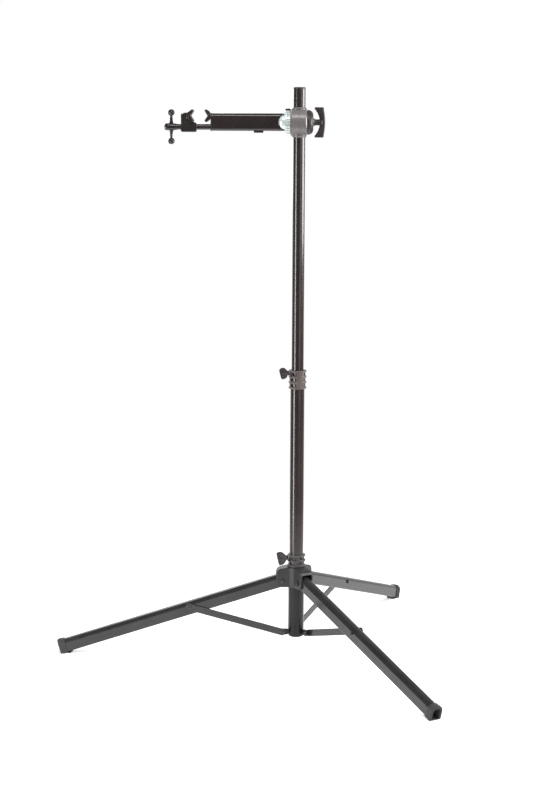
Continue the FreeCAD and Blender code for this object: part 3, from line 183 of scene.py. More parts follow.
FINISHES = {
    "tube_black": dict(
        colour=(0.022, 0.015, 0.0145), tint=(0.031, 0.022, 0.0215), roughness=(0.17, 0.25),
        grain=900.0, coat=0.25, coat_roughness=0.08, bump=0.012, stretch=(1.0, 1.0, 0.02),
        softened=False),
    "leg_grey": dict(
        colour=(0.019, 0.018, 0.018), tint=(0.029, 0.027, 0.027), roughness=(0.12, 0.20),
        grain=700.0, bump=0.06, stretch=(1.0, 1.0, 2.5), specular=0.50),
    "sleeve_grey": dict(
        colour=(0.011, 0.0105, 0.0105), tint=(0.018, 0.017, 0.017), roughness=(0.16, 0.26),
        grain=700.0, bump=0.05, stretch=(1.0, 1.0, 0.1), specular=0.26),
    "hub_grey": dict(
        colour=(0.026, 0.0245, 0.025), tint=(0.036, 0.034, 0.034), roughness=(0.32, 0.46),
        grain=520.0, bump=0.22, depth=0.0001, specular=0.4),
    "collar_plastic": dict(
        colour=(0.094, 0.075, 0.070), tint=(0.120, 0.097, 0.091), roughness=(0.38, 0.52),
        grain=800.0, bump=0.12),
    "hub_plastic": dict(
        colour=(0.060, 0.056, 0.056), tint=(0.078, 0.073, 0.072), roughness=(0.36, 0.50),
        grain=800.0, bump=0.12),
    "head_grey": dict(
        colour=(0.168, 0.152, 0.153), tint=(0.208, 0.190, 0.190), roughness=(0.26, 0.36),
        grain=600.0, bump=0.08, metallic=0.20, softened=False),
    "black_plastic": dict(
        colour=(0.027, 0.022, 0.022), tint=(0.038, 0.032, 0.032), roughness=(0.34, 0.48),
        grain=1100.0, bump=0.16, wear=(0.14, 0.12, 0.118)),
    "satin_black": dict(
        colour=(0.018, 0.014, 0.014), tint=(0.027, 0.022, 0.022), roughness=(0.20, 0.32),
        grain=1100.0, coat=0.35, coat_roughness=0.10, bump=0.05, wear=(0.20, 0.18, 0.17),
        softened=False),
    "knob_black": dict(
        colour=(0.017, 0.0135, 0.013), tint=(0.027, 0.022, 0.020), roughness=(0.34, 0.48),
        grain=1100.0, bump=0.16, wear=(0.14, 0.12, 0.118), specular=0.32),
    "gloss_black": dict(
        colour=(0.020, 0.015, 0.015), tint=(0.029, 0.022, 0.022), roughness=(0.14, 0.22),
        grain=500.0, coat=0.4, coat_roughness=0.06, bump=0.03, wear=(0.12, 0.10, 0.10),
        wear_amount=0.25, softened=False),
    "zinc": dict(
        colour=(0.72, 0.84, 0.86), tint=(0.88, 0.90, 0.84), roughness=(0.24, 0.40), grain=420.0,
        metallic=0.40, bump=0.10, wear=(0.9, 0.9, 0.9)),
    "steel": dict(
        colour=(0.30, 0.30, 0.31), tint=(0.42, 0.42, 0.42), roughness=(0.22, 0.40), grain=600.0,
        metallic=1.0, bump=0.10, wear=(0.7, 0.7, 0.7)),
    "dark_steel": dict(
        colour=(0.055, 0.052, 0.052), tint=(0.080, 0.076, 0.075), roughness=(0.26, 0.42),
        grain=600.0, metallic=0.6, bump=0.12, wear=(0.30, 0.29, 0.28)),
    "rubber": dict(
        colour=(0.028, 0.026, 0.026), tint=(0.040, 0.037, 0.037), roughness=(0.60, 0.80),
        grain=1300.0, bump=0.30, depth=0.0001, wear=(0.15, 0.14, 0.135)),
    # Painted light: a paler copy of the rubber for the jaw pads. Its grey and its pale edges stand
    # in for the light that falls on the pads from the right.
    "pad_rubber_painted_light": dict(
        colour=(0.130, 0.118, 0.112), tint=(0.165, 0.150, 0.144), roughness=(0.55, 0.75),
        grain=1300.0, bump=0.30, depth=0.0001, wear=(0.42, 0.40, 0.38)),
    "nylon": dict(
        colour=(0.70, 0.68, 0.62), tint=(0.78, 0.76, 0.70), roughness=(0.40, 0.55), grain=900.0,
        bump=0.10, wear=(0.85, 0.84, 0.80)),
}
MATERIALS = {name: finish_material(name, **finish) for name, finish in FINISHES.items()}

# CAD nodes with a finish of their own instead of their slot's.
OWN_FINISH = {"hub_sleeve": "sleeve_grey", "bottom_collar": "sleeve_grey"}


def coat_cad_nodes():
    """Gives each CAD node its own finish, or the one of its slot in the record."""
    for part in frame["record"]["subparts"]:
        mesh = nodes[part["node"]].data
        finish = OWN_FINISH.get(part["node"], part["material_slot"])
        mesh.materials.clear()
        mesh.materials.append(MATERIALS[finish])


coat_cad_nodes()


# ---------------------------------------------------------------- mesh helpers
def lathe(bm, profile, steps=64, place=Matrix.Identity(4)):
    """Spins (along, radius) points round the X axis; a radius of 0 closes that end."""
    rings = []
    for along, radius in profile:
        turns = [2 * math.pi * i / steps for i in range(steps)] if radius else [0.0]
        spots = [Vector((along, radius * math.cos(turn), radius * math.sin(turn)))
                 for turn in turns]
        rings.append([bm.verts.new(place @ spot) for spot in spots])
    for first, second in zip(rings, rings[1:]):
        for i in range(steps):
            corners = [first[i % len(first)], first[(i + 1) % len(first)],
                       second[(i + 1) % len(second)], second[i % len(second)]]
            bm.faces.new(list(dict.fromkeys(corners)))


def round_edges(bm, edges, radius):
    """Rounds edges off in three steps."""
    bmesh.ops.bevel(bm, geom=edges, offset=radius, segments=3, profile=0.5, affect="EDGES")


def plate(bm, outline, thickness, bevel, dish=0.0, rim=3.0, middle=0.0):
    """Extrudes an outline in the XZ plane across Y, and rounds its edges.

    With a dish, both flats sink by that much inside a rim.
    """
    level, close = 1e-4, 1e-3
    near, far = middle - thickness / 2, middle + thickness / 2
    sides = [[bm.verts.new((x, y, z)) for x, z in outline] for y in (near, far)]
    count = len(outline)
    faces = [bm.faces.new(sides[0]), bm.faces.new(list(reversed(sides[1])))]
    for i in range(count):
        j = (i + 1) % count
        faces.append(bm.faces.new([sides[0][j], sides[0][i], sides[1][i], sides[1][j]]))
    bmesh.ops.recalc_face_normals(bm, faces=faces)
    round_edges(bm, list({edge for face in faces for edge in face.edges}), bevel)
    if dish:
        flats = []
        for face in bm.faces:
            across = face.calc_center_median().y
            faces_y = abs(abs(face.normal.y) - 1) < level
            outside = min(abs(across - near), abs(across - far)) < close
            if faces_y and outside and len(face.verts) >= count:
                flats.append(face)
        for flat in flats:
            bmesh.ops.inset_region(bm, faces=[flat], thickness=rim, depth=0.0)
            bmesh.ops.inset_region(bm, faces=[flat], thickness=dish, depth=-dish)


def block(bm, low, high, bevel):
    """A rounded block between two corners."""
    outline = [(low[0], low[2]), (high[0], low[2]), (high[0], high[2]), (low[0], high[2])]
    plate(bm, outline, high[1] - low[1], bevel, middle=(low[1] + high[1]) / 2)


def arc_block(bm, inner, outer, start, end, low, high, bevel=0.0, steps=12):
    """A slice of a thick ring round Z; angles in degrees from -Y towards +X."""
    sharp = 1.0
    columns = []
    for i in range(steps + 1):
        turn = math.radians(start + (end - start) * i / steps)
        across, along = math.sin(turn), -math.cos(turn)
        section = ((inner, low), (outer, low), (outer, high), (inner, high))
        columns.append([bm.verts.new((radius * across, radius * along, height))
                        for radius, height in section])
    faces = [bm.faces.new(columns[0]), bm.faces.new(list(reversed(columns[-1])))]
    for first, second in zip(columns, columns[1:]):
        for i in range(4):
            j = (i + 1) % 4
            faces.append(bm.faces.new([first[j], first[i], second[i], second[j]]))
    bmesh.ops.recalc_face_normals(bm, faces=faces)
    if bevel:
        edges = {edge for face in faces for edge in face.edges
                 if edge.calc_face_angle(0.0) > sharp}
        round_edges(bm, list(edges), bevel)


def to_mesh(bm, name, place=Matrix.Identity(4), sharp=38.0):
    """Makes a mesh in metres from a bmesh in millimetres."""
    bmesh.ops.recalc_face_normals(bm, faces=bm.faces)
    mesh = bpy.data.meshes.new(name)
    bm.to_mesh(mesh)
    bm.free()
    mesh.transform(place @ Matrix.Scale(MM, 4))
    mesh.shade_smooth()
    mesh.set_sharp_from_angle(angle=math.radians(sharp))
    return mesh


def add_piece(name, mesh, slot, body, *replaced):
    """Adds a finished piece that rides on a body and stands for some CAD nodes."""
    piece = bpy.data.objects.new(name, mesh)
    scene.collection.objects.link(piece)
    mesh.materials.clear()
    mesh.materials.append(MATERIALS[slot])
    if replaced:
        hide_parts(*replaced)
    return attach(piece, body)


def with_modifiers(mesh, *modifiers):
    """Applies modifiers, each a kind and its settings, and returns the new mesh."""
    holder = bpy.data.objects.new("holder", mesh)
    scene.collection.objects.link(holder)
    for kind, settings in modifiers:
        modifier = holder.modifiers.new(kind.lower(), kind)
        for name, value in settings.items():
            setattr(modifier, name, value)
    graph = bpy.context.evaluated_depsgraph_get()
    result = bpy.data.meshes.new_from_object(holder.evaluated_get(graph))
    bpy.data.objects.remove(holder)
    return result


def cast(node, voxel, rounds):
    """A copy of a CAD node's mesh with the soft edges of a casting."""
    return with_modifiers(
        nodes[node].data.copy(),
        ("REMESH", {"mode": "VOXEL", "voxel_size": voxel * MM, "use_smooth_shade": True}),
        ("SMOOTH", {"factor": 0.5, "iterations": rounds}))


def along_z():
    """Turns a piece spun round X so that it stands along Z."""
    return Matrix.Rotation(-math.pi / 2, 4, "Y")


# ---------------------------------------------------------------- collars
KNOB_TURN = 210.0
KNOB_SEAT = 31.0
MID_KNOB_HEIGHT, HUB_KNOB_HEIGHT = 915.0, 317.6


def make_collar(name, slot, body, bottom, height, bore, ring, count, windows, panels,
                boss_height, sills):
    """A clamp collar: raised rings joined by webs, with windows between them, and a knob boss.

    For each gap between two rings, windows gives the angles where its windows start and end.
    Panels are the angles of the plain panels, and sills how far each ring reaches into a gap.
    """
    core, band, overlap = 25.5, 6.0, 0.6
    boss_start, boss_bore = core - 3.0, 4.2
    corner_half, corner_inset, corner_overlap = 1.2, 3.2, 2.0
    step = (height - band) / (count - 1)
    standing = Matrix.Translation((0, 0, bottom)) @ along_z()
    bm = bmesh.new()
    for i in range(count):
        low = step * i
        high = low + band
        lathe(bm, [(low, bore), (low, ring - 2.2), (low + 0.5, ring - 1.0), (low + 1.6, ring - 0.2),
                   (low + band / 2, ring), (high - 1.6, ring - 0.2), (high - 0.5, ring - 1.0),
                   (high, ring - 2.2), (high, bore), (low, bore)], 120, standing)
        foot, top = max(low - sills, overlap), min(high + sills, height - overlap)
        lathe(bm, [(foot, bore), (foot, core - 0.5), (foot + 0.6, core), (top - 0.6, core),
                   (top, core - 0.5), (top, bore), (foot, bore)], 120, standing)
    for gap, openings in enumerate(windows):
        low = bottom + step * gap + band
        high = low + step - band
        next_starts = [start for start, _ in openings[1:]] + [openings[0][0] + 360]
        for (_, end), following in zip(openings, next_starts):
            arc_block(bm, bore, core, end, following, low - overlap, high + overlap, steps=16)
            for edge, lean in ((end, 1), (following, -1)):
                for corner in (low + sills, high - sills):
                    arc_block(bm, bore + 0.5, core - 0.3, edge - corner_inset * lean,
                              edge + corner_overlap * lean, corner - corner_half,
                              corner + corner_half, bevel=0.9, steps=2)
    for start, end in panels:
        arc_block(bm, core - 1, ring - 0.5, start, end, bottom + 0.8, bottom + height - 0.8,
                  bevel=0.7, steps=16)
    knob_axis = (Matrix.Translation((0, 0, boss_height))
                 @ Matrix.Rotation(math.radians(KNOB_TURN), 4, "Z"))
    lathe(bm, [(boss_start, 7.6), (KNOB_SEAT - 0.8, 7.4), (KNOB_SEAT, 6.6), (KNOB_SEAT, boss_bore),
               (boss_start, boss_bore), (boss_start, 7.6)], 48, knob_axis)
    bmesh.ops.remove_doubles(bm, verts=bm.verts, dist=0.0005)
    return add_piece(name + "_shell", to_mesh(bm, name), slot, body, name)


BACK_WINDOWS = [(56, 102), (116, 162), (176, 222), (236, 276)]
make_collar("mid_collar", "collar_plastic", "lower_mast", bottom=864.0, height=59.0, bore=22.3,
            ring=28.5, count=4,
            windows=[[(-57, -9)] + BACK_WINDOWS, [(-57, -9)] + BACK_WINDOWS,
                     [(-40, -9)] + BACK_WINDOWS],
            panels=[(-5, 50)], boss_height=MID_KNOB_HEIGHT, sills=1.7)
make_collar("hub_collar", "hub_plastic", "hub", bottom=286.6, height=39.0, bore=22.3,
            ring=29.5, count=3,
            windows=[[(-56, -12), (8, 46)] + BACK_WINDOWS, [(-36, 4), (20, 48)] + BACK_WINDOWS],
            panels=[], boss_height=HUB_KNOB_HEIGHT, sills=1.4)


# ---------------------------------------------------------------- collar knobs
def make_collar_knob(name, body, height, twist, length, reach):
    """A two-winged knob: a ribbed stem, and a dished wing with grip ridges on its flats."""
    seat_gap, ridge_side, ridge_half, ridges = 1.8, 5.9, 0.7, 5
    start = KNOB_SEAT + seat_gap
    end = start + reach
    half = length / 2
    bm = bmesh.new()
    wing = [(start + 4, -5.5), (start + 7, -8.0), (end - 15, -half + 1), (end - 12, -half),
            (end - 3, -half - 0.5), (end - 0.6, -half + 2), (end, -half / 2), (end, half / 2),
            (end - 0.6, half - 2), (end - 3, half + 0.5), (end - 12, half),
            (end - 15, half - 1), (start + 7, 8.0), (start + 4, 5.5)]
    plate(bm, wing, 14.0, 1.6, dish=1.3, rim=1.6)
    lathe(bm, [(start, 4.1), (start, 6.4), (start + 0.8, 7.0), (start + 2.6, 6.8),
               (start + 3.2, 5.6), (start + 7.5, 5.2), (end - 9, 6.8), (end - 4, 5.5),
               (end - 4, 0)], 48)
    for side in (-1, 1):
        for i in range(ridges):
            up = (i - 2) * half * 0.36
            taper = abs(up) / half
            block(bm, (end - 13 + 3 * taper, side * ridge_side - ridge_half, up - 0.9),
                  (end - 3.2, side * ridge_side + ridge_half, up + 0.9), 0.35)
    place = (Matrix.Translation((0, 0, height * MM))
             @ Matrix.Rotation(math.radians(KNOB_TURN), 4, "Z")
             @ Matrix.Rotation(math.radians(twist), 4, "X"))
    return add_piece(name + "_grip", to_mesh(bm, name, place), "knob_black", body, name)


make_collar_knob("mid_knob", "mid_knob", MID_KNOB_HEIGHT, twist=30.0, length=34.0, reach=28.0)
make_collar_knob("hub_knob", "hub_knob", HUB_KNOB_HEIGHT, twist=26.0, length=41.0, reach=34.0)


# ---------------------------------------------------------------- head knob
ARM_HEIGHT = 1696.0


def at_arm(up=0.0):
    """The place of a piece drawn round the arm's own axis, in millimetres above it."""
    return Matrix.Translation((0, 0, (ARM_HEIGHT + up) * MM))


def between(table, value):
    """Reads a table of (place, number) pairs, in straight lines from one to the next."""
    for (low, first), (high, second) in zip(table, table[1:]):
        if value <= high:
            share = max(0.0, min(1.0, (value - low) / (high - low)))
            return first + (second - first) * share
    return table[-1][1]


def rounded_ring(bm, left, right, deep, up, corner, steps=6):
    """A ring of vertices at one height: a rectangle in X and Y with round corners."""
    largest = 0.98
    middle, half_x, half_y = (left + right) / 2, (right - left) / 2, deep / 2
    corner = min(corner, half_x * largest, half_y * largest)
    ring = []
    for side_x, side_y, start in ((1, 1, 0), (-1, 1, 90), (-1, -1, 180), (1, -1, 270)):
        for i in range(steps + 1):
            turn = math.radians(start + 90 * i / steps)
            ring.append(bm.verts.new((middle + side_x * (half_x - corner) + corner * math.cos(turn),
                                      side_y * (half_y - corner) + corner * math.sin(turn), up)))
    return ring


def skin(bm, rings):
    """Joins rings of equal length into a closed skin."""
    for first, second in zip(rings, rings[1:]):
        for i, corner in enumerate(first):
            j = (i + 1) % len(first)
            bm.faces.new([corner, first[j], second[j], second[i]])
    bm.faces.new(list(reversed(rings[0])))
    bm.faces.new(rings[-1])


def make_head_knob():
    """The big knob: a stepped stem and a bowed wing with hooked tips set off by a groove."""
    start, half, groove_start, groove_end = 45.6, 46.4, 35.2, 38.4
    front = [(0.0, 80.4), (12.0, 79.9), (24.0, 78.6), (36.0, 76.9), (43.5, 75.6), (45.6, 74.6),
             (half, 73.0)]
    back = [(0.0, 63.0), (9.0, 62.6), (18.0, 60.6), (27.0, 57.0), (34.0, 52.4), (40.0, 47.6),
            (43.0, 46.9), (45.4, 47.4), (half, 49.0)]
    deep = [(0.0, 17.0), (12.0, 18.5), (30.0, 21.0), (43.5, 22.0), (45.6, 21.0), (half, 18.5)]
    groove = [(groove_start, 0.0), (36.2, 1.1), (37.4, 1.1), (groove_end, 0.0)]
    stops = [0, 6, 12, 18, 24, 29, 33, groove_start, 36.2, 37.4, groove_end, 40, 42, 43.5, 44.8,
             45.7, half]
    bm = bmesh.new()
    rings = []
    for up in [-stop for stop in reversed(stops[1:])] + stops:
        away = abs(up)
        pinch = between(groove, away) if groove_start < away < groove_end else 0.0
        rings.append(rounded_ring(bm, between(back, away) + pinch, between(front, away) - pinch,
                                  between(deep, away) - pinch * 2, up, corner=4.0))
    skin(bm, rings)
    lathe(bm, [(start, 6.2), (start, 10.4), (start + 1, 11.0), (start + 3, 10.6),
               (start + 4, 9.4), (start + 14, 9.2), (start + 19, 10.6), (start + 24, 11.6),
               (start + 26, 9.0), (start + 26, 0)], 64)
    return add_piece("head_knob_grip", to_mesh(bm, "head_knob", at_arm(), 30.0), "black_plastic",
                     "head_knob", "head_knob")


make_head_knob()


# ---------------------------------------------------------------- spindle handle
def make_handle():
    """The moulded barrel on the screw, and the cross bar with a ball on each end."""
    start, middle, end, drop = -417.5, -396.0, -365.8, -15.0
    ball_centre, ball_radius = 43.5, 10.5
    bm = bmesh.new()
    lathe(bm, [(start, 0), (start, 5.0), (start + 0.5, 7.0), (start + 1.8, 9.0),
               (start + 4, 10.4), (start + 7, 11.1), (middle - 6, 11.4), (middle + 2, 11.5),
               (middle + 8, 11.1), (middle + 14, 10.0), (middle + 20, 9.0), (end - 4.6, 8.4),
               (end - 4, 9.0), (end - 1, 9.0), (end, 8.5), (end, 5.1)], 72)
    add_piece("handle_barrel_grip", to_mesh(bm, "handle_barrel", at_arm(drop)), "satin_black",
              "spindle", "handle_barrel")
    bm = bmesh.new()
    arm = [(0.0, 6.6), (11.5, 6.4), (13.5, 5.9), (18, 5.1), (25, 4.4), (32, 3.9), (34.2, 4.1)]
    ball = [(ball_centre - ball_radius * math.cos(math.radians(turn)),
             ball_radius * math.sin(math.radians(turn))) for turn in range(30, 180, 12)]
    half = arm + ball + [(ball_centre + ball_radius, 0.0)]
    whole = [(-along, radius) for along, radius in reversed(half[1:])] + half
    lathe(bm, whole, 56)
    place = at_arm(drop) @ Matrix.Translation((middle * MM, 0, 0)) @ along_z()
    add_piece("handle_bar_grip", to_mesh(bm, "handle_bar", place), "satin_black", "spindle",
              "handle_bar")


make_handle()


# ---------------------------------------------------------------- jaws
JAW_HEIGHT = 19.0


def jaw_spot(back, side):
    """Turns a distance out of a jaw's back, and a height on it, into a spot in the XZ plane."""
    return lambda out, up: (-back - out * side, JAW_HEIGHT + up)


def make_jaw(name, body, back, side, rear=0.05):
    """A V jaw with a raised web on each side, and its rubber liner, grooved across both faces."""
    spot = jaw_spot(back, side)
    half, foot, depth, width, web_width = 19.6, 7.0, 10.5, 36.0, 37.2
    tip = foot + depth
    outline = [spot(rear, -8), spot(3.5, -13.5), spot(tip - 5, -half), spot(tip - 1, -half + 0.5),
               spot(tip, 3 - half), spot(foot + 4.6, -7.2), spot(foot, 0),
               spot(foot + 4.6, 7.2), spot(tip, half - 3), spot(tip - 1, half - 0.5),
               spot(tip - 5, half), spot(3.5, 13), spot(rear, 7)]
    bm = bmesh.new()
    plate(bm, outline, width, 1.1)
    web = [spot(rear + 1.2, -6), spot(1.2, -7.5), spot(foot - 2, -7.5), spot(foot - 3.4, 0),
           spot(foot - 2, 7), spot(1.2, 7), spot(rear + 1.2, 5)]
    plate(bm, web, web_width, 0.5)
    add_piece(name + "_jaw_body", to_mesh(bm, name + "_jaw", at_arm()), "satin_black", body,
              name + "_jaw")
    bm = bmesh.new()
    base, rubber, margin, liner_half = foot + 0.1, 2.6, 3.4, 17.0
    count, groove_every, groove_depth = 28, 4, 0.8
    inner, outer = [], []
    for i in range(-count, count + 1):
        share = abs(i) / count
        up = (half - margin) * i / count
        groove = groove_depth if i % groove_every == 0 and 0 < abs(i) < count else 0.0
        inner.append(spot(base + depth * share, up))
        outer.append(spot(base + rubber - groove + (depth - 0.3) * share, up * 0.95))
    rows = [[bm.verts.new((x, y, z)) for x, z in line]
            for line in (inner, outer) for y in (-liner_half, liner_half)]
    for first, second in ((0, 1), (1, 3), (3, 2), (2, 0)):
        for i in range(2 * count):
            bm.faces.new([rows[first][i], rows[first][i + 1], rows[second][i + 1], rows[second][i]])
    for i in (0, -1):
        bm.faces.new([rows[0][i], rows[1][i], rows[3][i], rows[2][i]])
    # The liner takes the pale pad finish, whose grey is painted light.
    add_piece(name + "_jaw_liner", to_mesh(bm, name + "_jaw_pad", at_arm(), 25.0), "pad_rubber_painted_light",
              body, name + "_jaw_pad")


make_jaw("fixed", "clamp_arm", 273.8, 1)
make_jaw("moving", "jaw_carrier", 344.0, -1, rear=-5.0)


def make_carrier_ramp():
    """The gusset that braces the carrier's post behind and below the moving jaw."""
    bm = bmesh.new()
    slope = [(-346.0, 8.0), (-344.4, 11.0), (-341.0, 10.6), (-331.0, 2.4), (-321.0, -1.4),
             (-318.2, -3.4), (-318.2, -5.2), (-346.0, -5.2)]
    plate(bm, slope, 28.6, 0.6)
    add_piece("jaw_carrier_ramp", to_mesh(bm, "jaw_carrier_ramp", at_arm()), "satin_black",
              "jaw_carrier")


make_carrier_ramp()


# ---------------------------------------------------------------- release spring
def make_spring():
    """The coil over the release button."""
    low, high, radius, wire, turns = 1701.3, 1719.7, 5.4, 0.6, 5.5
    steps, sides, along = 150, 10, -125.6
    flat_end, rising = 0.09, 0.82
    bm = bmesh.new()
    rings = []
    for i in range(steps + 1):
        turn = 2 * math.pi * turns * i / steps
        share = min(1.0, max(0.0, (i / steps - flat_end) / rising))
        middle = Vector((along, 0.0, low + wire + (high - low - 2 * wire) * share))
        out = Vector((math.cos(turn), math.sin(turn), 0.0))
        ring = []
        for j in range(sides):
            lean = 2 * math.pi * j / sides
            ring.append(bm.verts.new(middle + out * (radius + wire * math.cos(lean))
                                     + Vector((0.0, 0.0, wire * math.sin(lean)))))
        rings.append(ring)
    skin(bm, rings)
    coil = add_piece("release_coil", to_mesh(bm, "release_coil"), "steel", "clamp_arm",
                     "release_spring")
    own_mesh(coil)


make_spring()


# ---------------------------------------------------------------- feet
LEG_ANGLE = 17.3
LEG_LENGTH = 752.9
LEG_HALF_WIDTH, LEG_LOW, LEG_HIGH = 16.5, -19.0, 23.0
PIVOT_RADIUS = 45.0
PIVOT_HEIGHT = 240.355
FIRST_LEG = 182.1


def on_leg(number):
    """The place of a piece drawn along +X from a leg's upper pivot."""
    turn = math.radians(FIRST_LEG + 120 * (number - 1))
    pivot = Vector((PIVOT_RADIUS * math.cos(turn), PIVOT_RADIUS * math.sin(turn),
                    PIVOT_HEIGHT)) * MM
    return (Matrix.Translation(pivot) @ Matrix.Rotation(turn, 4, "Z")
            @ Matrix.Rotation(math.radians(LEG_ANGLE), 4, "Y"))


def leg_outline(bm, along, grow, crown=13.0, edge=4.0, steps=8):
    """A ring of vertices round the leg: its own section, grown by some millimetres."""
    half, low, high = LEG_HALF_WIDTH + grow, LEG_LOW - grow, LEG_HIGH + grow
    ring = []
    for across, up, radius, start in ((half, high, crown, 0), (-half, high, crown, 90),
                                      (-half, low, edge, 180), (half, low, edge, 270)):
        radius = max(radius + grow, 1.0)
        middle = (across - math.copysign(radius, across), up - math.copysign(radius, up))
        for i in range(steps + 1):
            turn = math.radians(start + 90 * i / steps)
            ring.append(bm.verts.new((along, middle[0] + radius * math.cos(turn),
                                      middle[1] + radius * math.sin(turn))))
    return ring


def make_foot(number):
    """A rubber boot: a rolled lip and flange round a deep hollow end, and a bowed heel below.

    Stations are (place along the leg from its end, growth beyond the leg's section). Whatever
    would reach below the floor is brought up to it, which makes the flat sole.
    """
    stations = [(-24.0, 0.08), (-23.6, 1.6), (-22.4, 2.9), (-20.6, 3.3), (-18.6, 2.9),
                (-17.4, 2.5), (-16.0, 2.7), (-13.6, 3.7), (-12.0, 4.2), (-4.0, 4.2),
                (-1.6, 3.8), (-0.4, 2.6), (0.0, 0.6), (0.0, -1.8), (-0.6, -3.4), (-2.6, -4.4),
                (-30.0, -5.0)]
    heel = [(-41.0, -19.2), (-39.5, -21.6), (-35.0, -24.6), (-28.0, -26.8), (-20.0, -27.6),
            (-12.0, -27.2), (-9.0, -22.5), (-16.0, -24.0), (-23.0, -23.6), (-29.0, -22.2),
            (-33.0, -20.6), (-35.0, -19.2)]
    bm = bmesh.new()
    skin(bm, [leg_outline(bm, LEG_LENGTH + along, grow) for along, grow in stations])
    plate(bm, [(LEG_LENGTH + along, up) for along, up in heel], 25.0, 0.8)
    place = on_leg(number)
    lift = place.inverted().to_3x3() @ Vector((0, 0, 1))
    for vertex in bm.verts:
        height = (place @ (vertex.co * MM)).z / MM
        if height < 0.0:
            vertex.co -= lift * height
    leg = "leg_%d" % number
    add_piece(leg + "_boot", to_mesh(bm, leg + "_foot", place, 50.0), "rubber", leg, leg + "_foot")


for leg_number in (1, 2, 3):
    make_foot(leg_number)


# ---------------------------------------------------------------- castings
add_piece("hub_casting_body", cast("hub_casting", 1.1, 7), "hub_grey", "hub", "hub_casting")
add_piece("jaw_carrier_body", cast("jaw_carrier", 0.7, 5), "satin_black", "jaw_carrier",
          "jaw_carrier")


# ---------------------------------------------------------------- studio
def add_floor():
    """A pale floor with a glow of its own, which fades out with distance from the stand."""
    size, glow, fade_start, fade_end = 6.0, 0.54, 0.95, 2.3
    mesh = bpy.data.meshes.new("floor")
    corners = [(-size, -size, 0), (size, -size, 0), (size, size, 0), (-size, size, 0)]
    mesh.from_pydata(corners, [], [(0, 1, 2, 3)])
    floor = bpy.data.objects.new("floor", mesh)
    scene.collection.objects.link(floor)
    shader = Shader("floor_paper")
    tone = shader.mix(shader.spread(shader.noise(1.2, 3.0), 0.0, 1.0), (0.80, 0.80, 0.80),
                      (0.82, 0.82, 0.82))
    shader.link(tone, shader.surface.inputs["Base Color"])
    shader.surface.inputs["Roughness"].default_value = 0.9
    shader.surface.inputs["Specular IOR Level"].default_value = 0.0
    shader.surface.inputs["Emission Color"].default_value = (1.0, 1.0, 1.0, 1.0)
    shader.surface.inputs["Emission Strength"].default_value = glow
    reach = shader.add("ShaderNodeVectorMath", operation="LENGTH")
    shader.link(shader.place, reach.inputs[0])
    fading = shader.spread(reach.outputs["Value"], 1.0, 0.0, fade_start, fade_end)
    shader.link(fading, shader.surface.inputs["Alpha"])
    mesh.materials.append(shader.material)


def add_light(name, spot, target, size, power, shows=True, lights=True):
    """A rectangular softbox at spot that faces target; it may only light, or only show in gloss."""
    data = bpy.data.lights.new(name, "AREA")
    data.shape = "RECTANGLE"
    data.size, data.size_y = size
    data.energy = power
    light = bpy.data.objects.new(name, data)
    light.location = spot
    light.rotation_euler = (Vector(target) - Vector(spot)).to_track_quat("-Z", "Y").to_euler()
    light.visible_glossy = shows
    light.visible_diffuse = lights
    light.visible_camera = False
    scene.collection.objects.link(light)


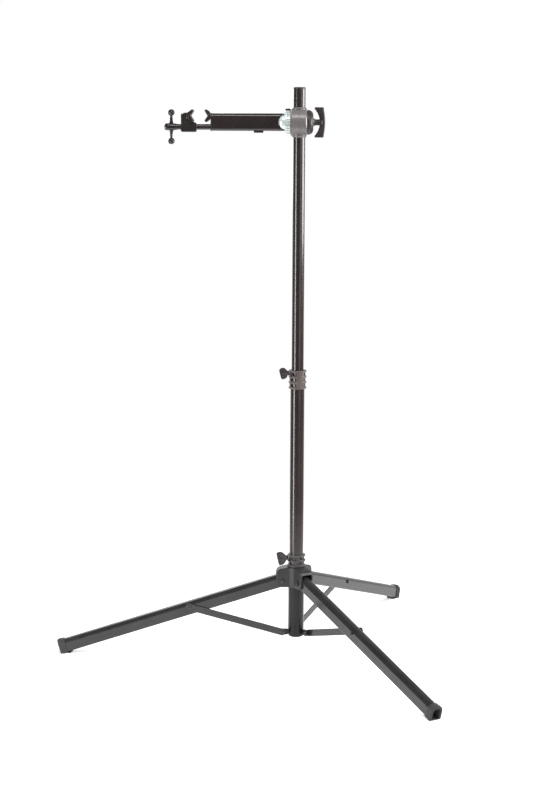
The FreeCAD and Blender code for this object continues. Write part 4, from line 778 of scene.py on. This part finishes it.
def add_world():
    """White behind the stand and to the camera; elsewhere the room is dim."""
    world = bpy.data.worlds.new("studio")
    world.use_nodes = True
    tree = world.node_tree
    background = tree.nodes["Background"]
    background.inputs["Color"].default_value = (1.0, 1.0, 1.0, 1.0)
    direction = tree.nodes.new("ShaderNodeSeparateXYZ")
    place = tree.nodes.new("ShaderNodeTexCoord").outputs["Generated"]
    tree.links.new(place, direction.inputs["Vector"])

    def ramp(value, from_low, from_high, low, high):
        node = tree.nodes.new("ShaderNodeMapRange")
        for name, number in (("From Min", from_low), ("From Max", from_high), ("To Min", low),
                             ("To Max", high)):
            node.inputs[name].default_value = number
        tree.links.new(value, node.inputs["Value"])
        return node.outputs["Result"]

    def join(operation, first, second):
        node = tree.nodes.new("ShaderNodeMath")
        node.operation = operation
        tree.links.new(first, node.inputs[0])
        tree.links.new(second, node.inputs[1])
        return node.outputs[0]

    behind = ramp(direction.outputs["Y"], 0.25, 0.85, 0.0, 1.0)
    low_down = ramp(direction.outputs["Z"], 0.30, 0.80, 1.0, 0.1)
    to_right = ramp(direction.outputs["X"], 0.05, 0.40, 0.0, 0.3)
    below = ramp(direction.outputs["Z"], -0.12, -0.04, 1.0, 0.0)
    paper = ramp(join("MULTIPLY", behind, low_down), 0.0, 1.0, 0.10, 1.0)
    room = join("MAXIMUM", paper, join("MULTIPLY", to_right, below))
    seen = tree.nodes.new("ShaderNodeLightPath").outputs["Is Camera Ray"]
    tree.links.new(join("MAXIMUM", seen, room), background.inputs["Strength"])
    scene.world = world


def add_camera():
    """A long lens in front of the stand, level with the clamp and looking a little down."""
    distance, height = 5.5, 1.717
    yaw, pitch, roll = math.radians(-1.02), math.radians(9.20), math.radians(0.23)
    data = bpy.data.cameras.new("camera")
    data.sensor_width = 36.0
    data.lens = 79.1
    camera = bpy.data.objects.new("camera", data)
    look = Vector((math.sin(yaw) * math.cos(pitch), math.cos(yaw) * math.cos(pitch),
                   -math.sin(pitch)))
    right = Vector((math.cos(yaw), -math.sin(yaw), 0.0))
    up = right.cross(look)
    turned_right = right * math.cos(roll) + up * math.sin(roll)
    turned_up = up * math.cos(roll) - right * math.sin(roll)
    axes = Matrix((turned_right, turned_up, -look)).transposed()
    camera.matrix_world = Matrix.Translation((0.0, -distance, height)) @ axes.to_4x4()
    scene.collection.objects.link(camera)
    scene.camera = camera


add_floor()
add_world()
add_light("left_strip", (-2.2, -1.5, 0.60), (0.0, 0.0, 0.6), (0.60, 2.2), 60.0)
add_light("right_box", (2.1, -0.1, 1.75), (0.0, 0.0, 1.6), (1.5, 1.2), 70.0)
add_light("front_box", (2.6, -3.4, 1.2), (0.0, 0.0, 0.7), (1.8, 2.2), 18.0)
add_light("front_top", (0.2, -2.4, 4.4), (0.0, 0.0, 1.6), (2.6, 0.9), 58.0)
add_light("top", (0.0, 0.0, 4.4), (0.0, 0.0, 0.0), (3.0, 3.0), 95.0, shows=False)
add_light("back_left", (-1.1, 2.2, 2.0), (-0.4, 0.0, 0.1), (1.6, 1.8), 30.0, lights=False)
add_camera()
scene.view_settings.view_transform = "Standard"
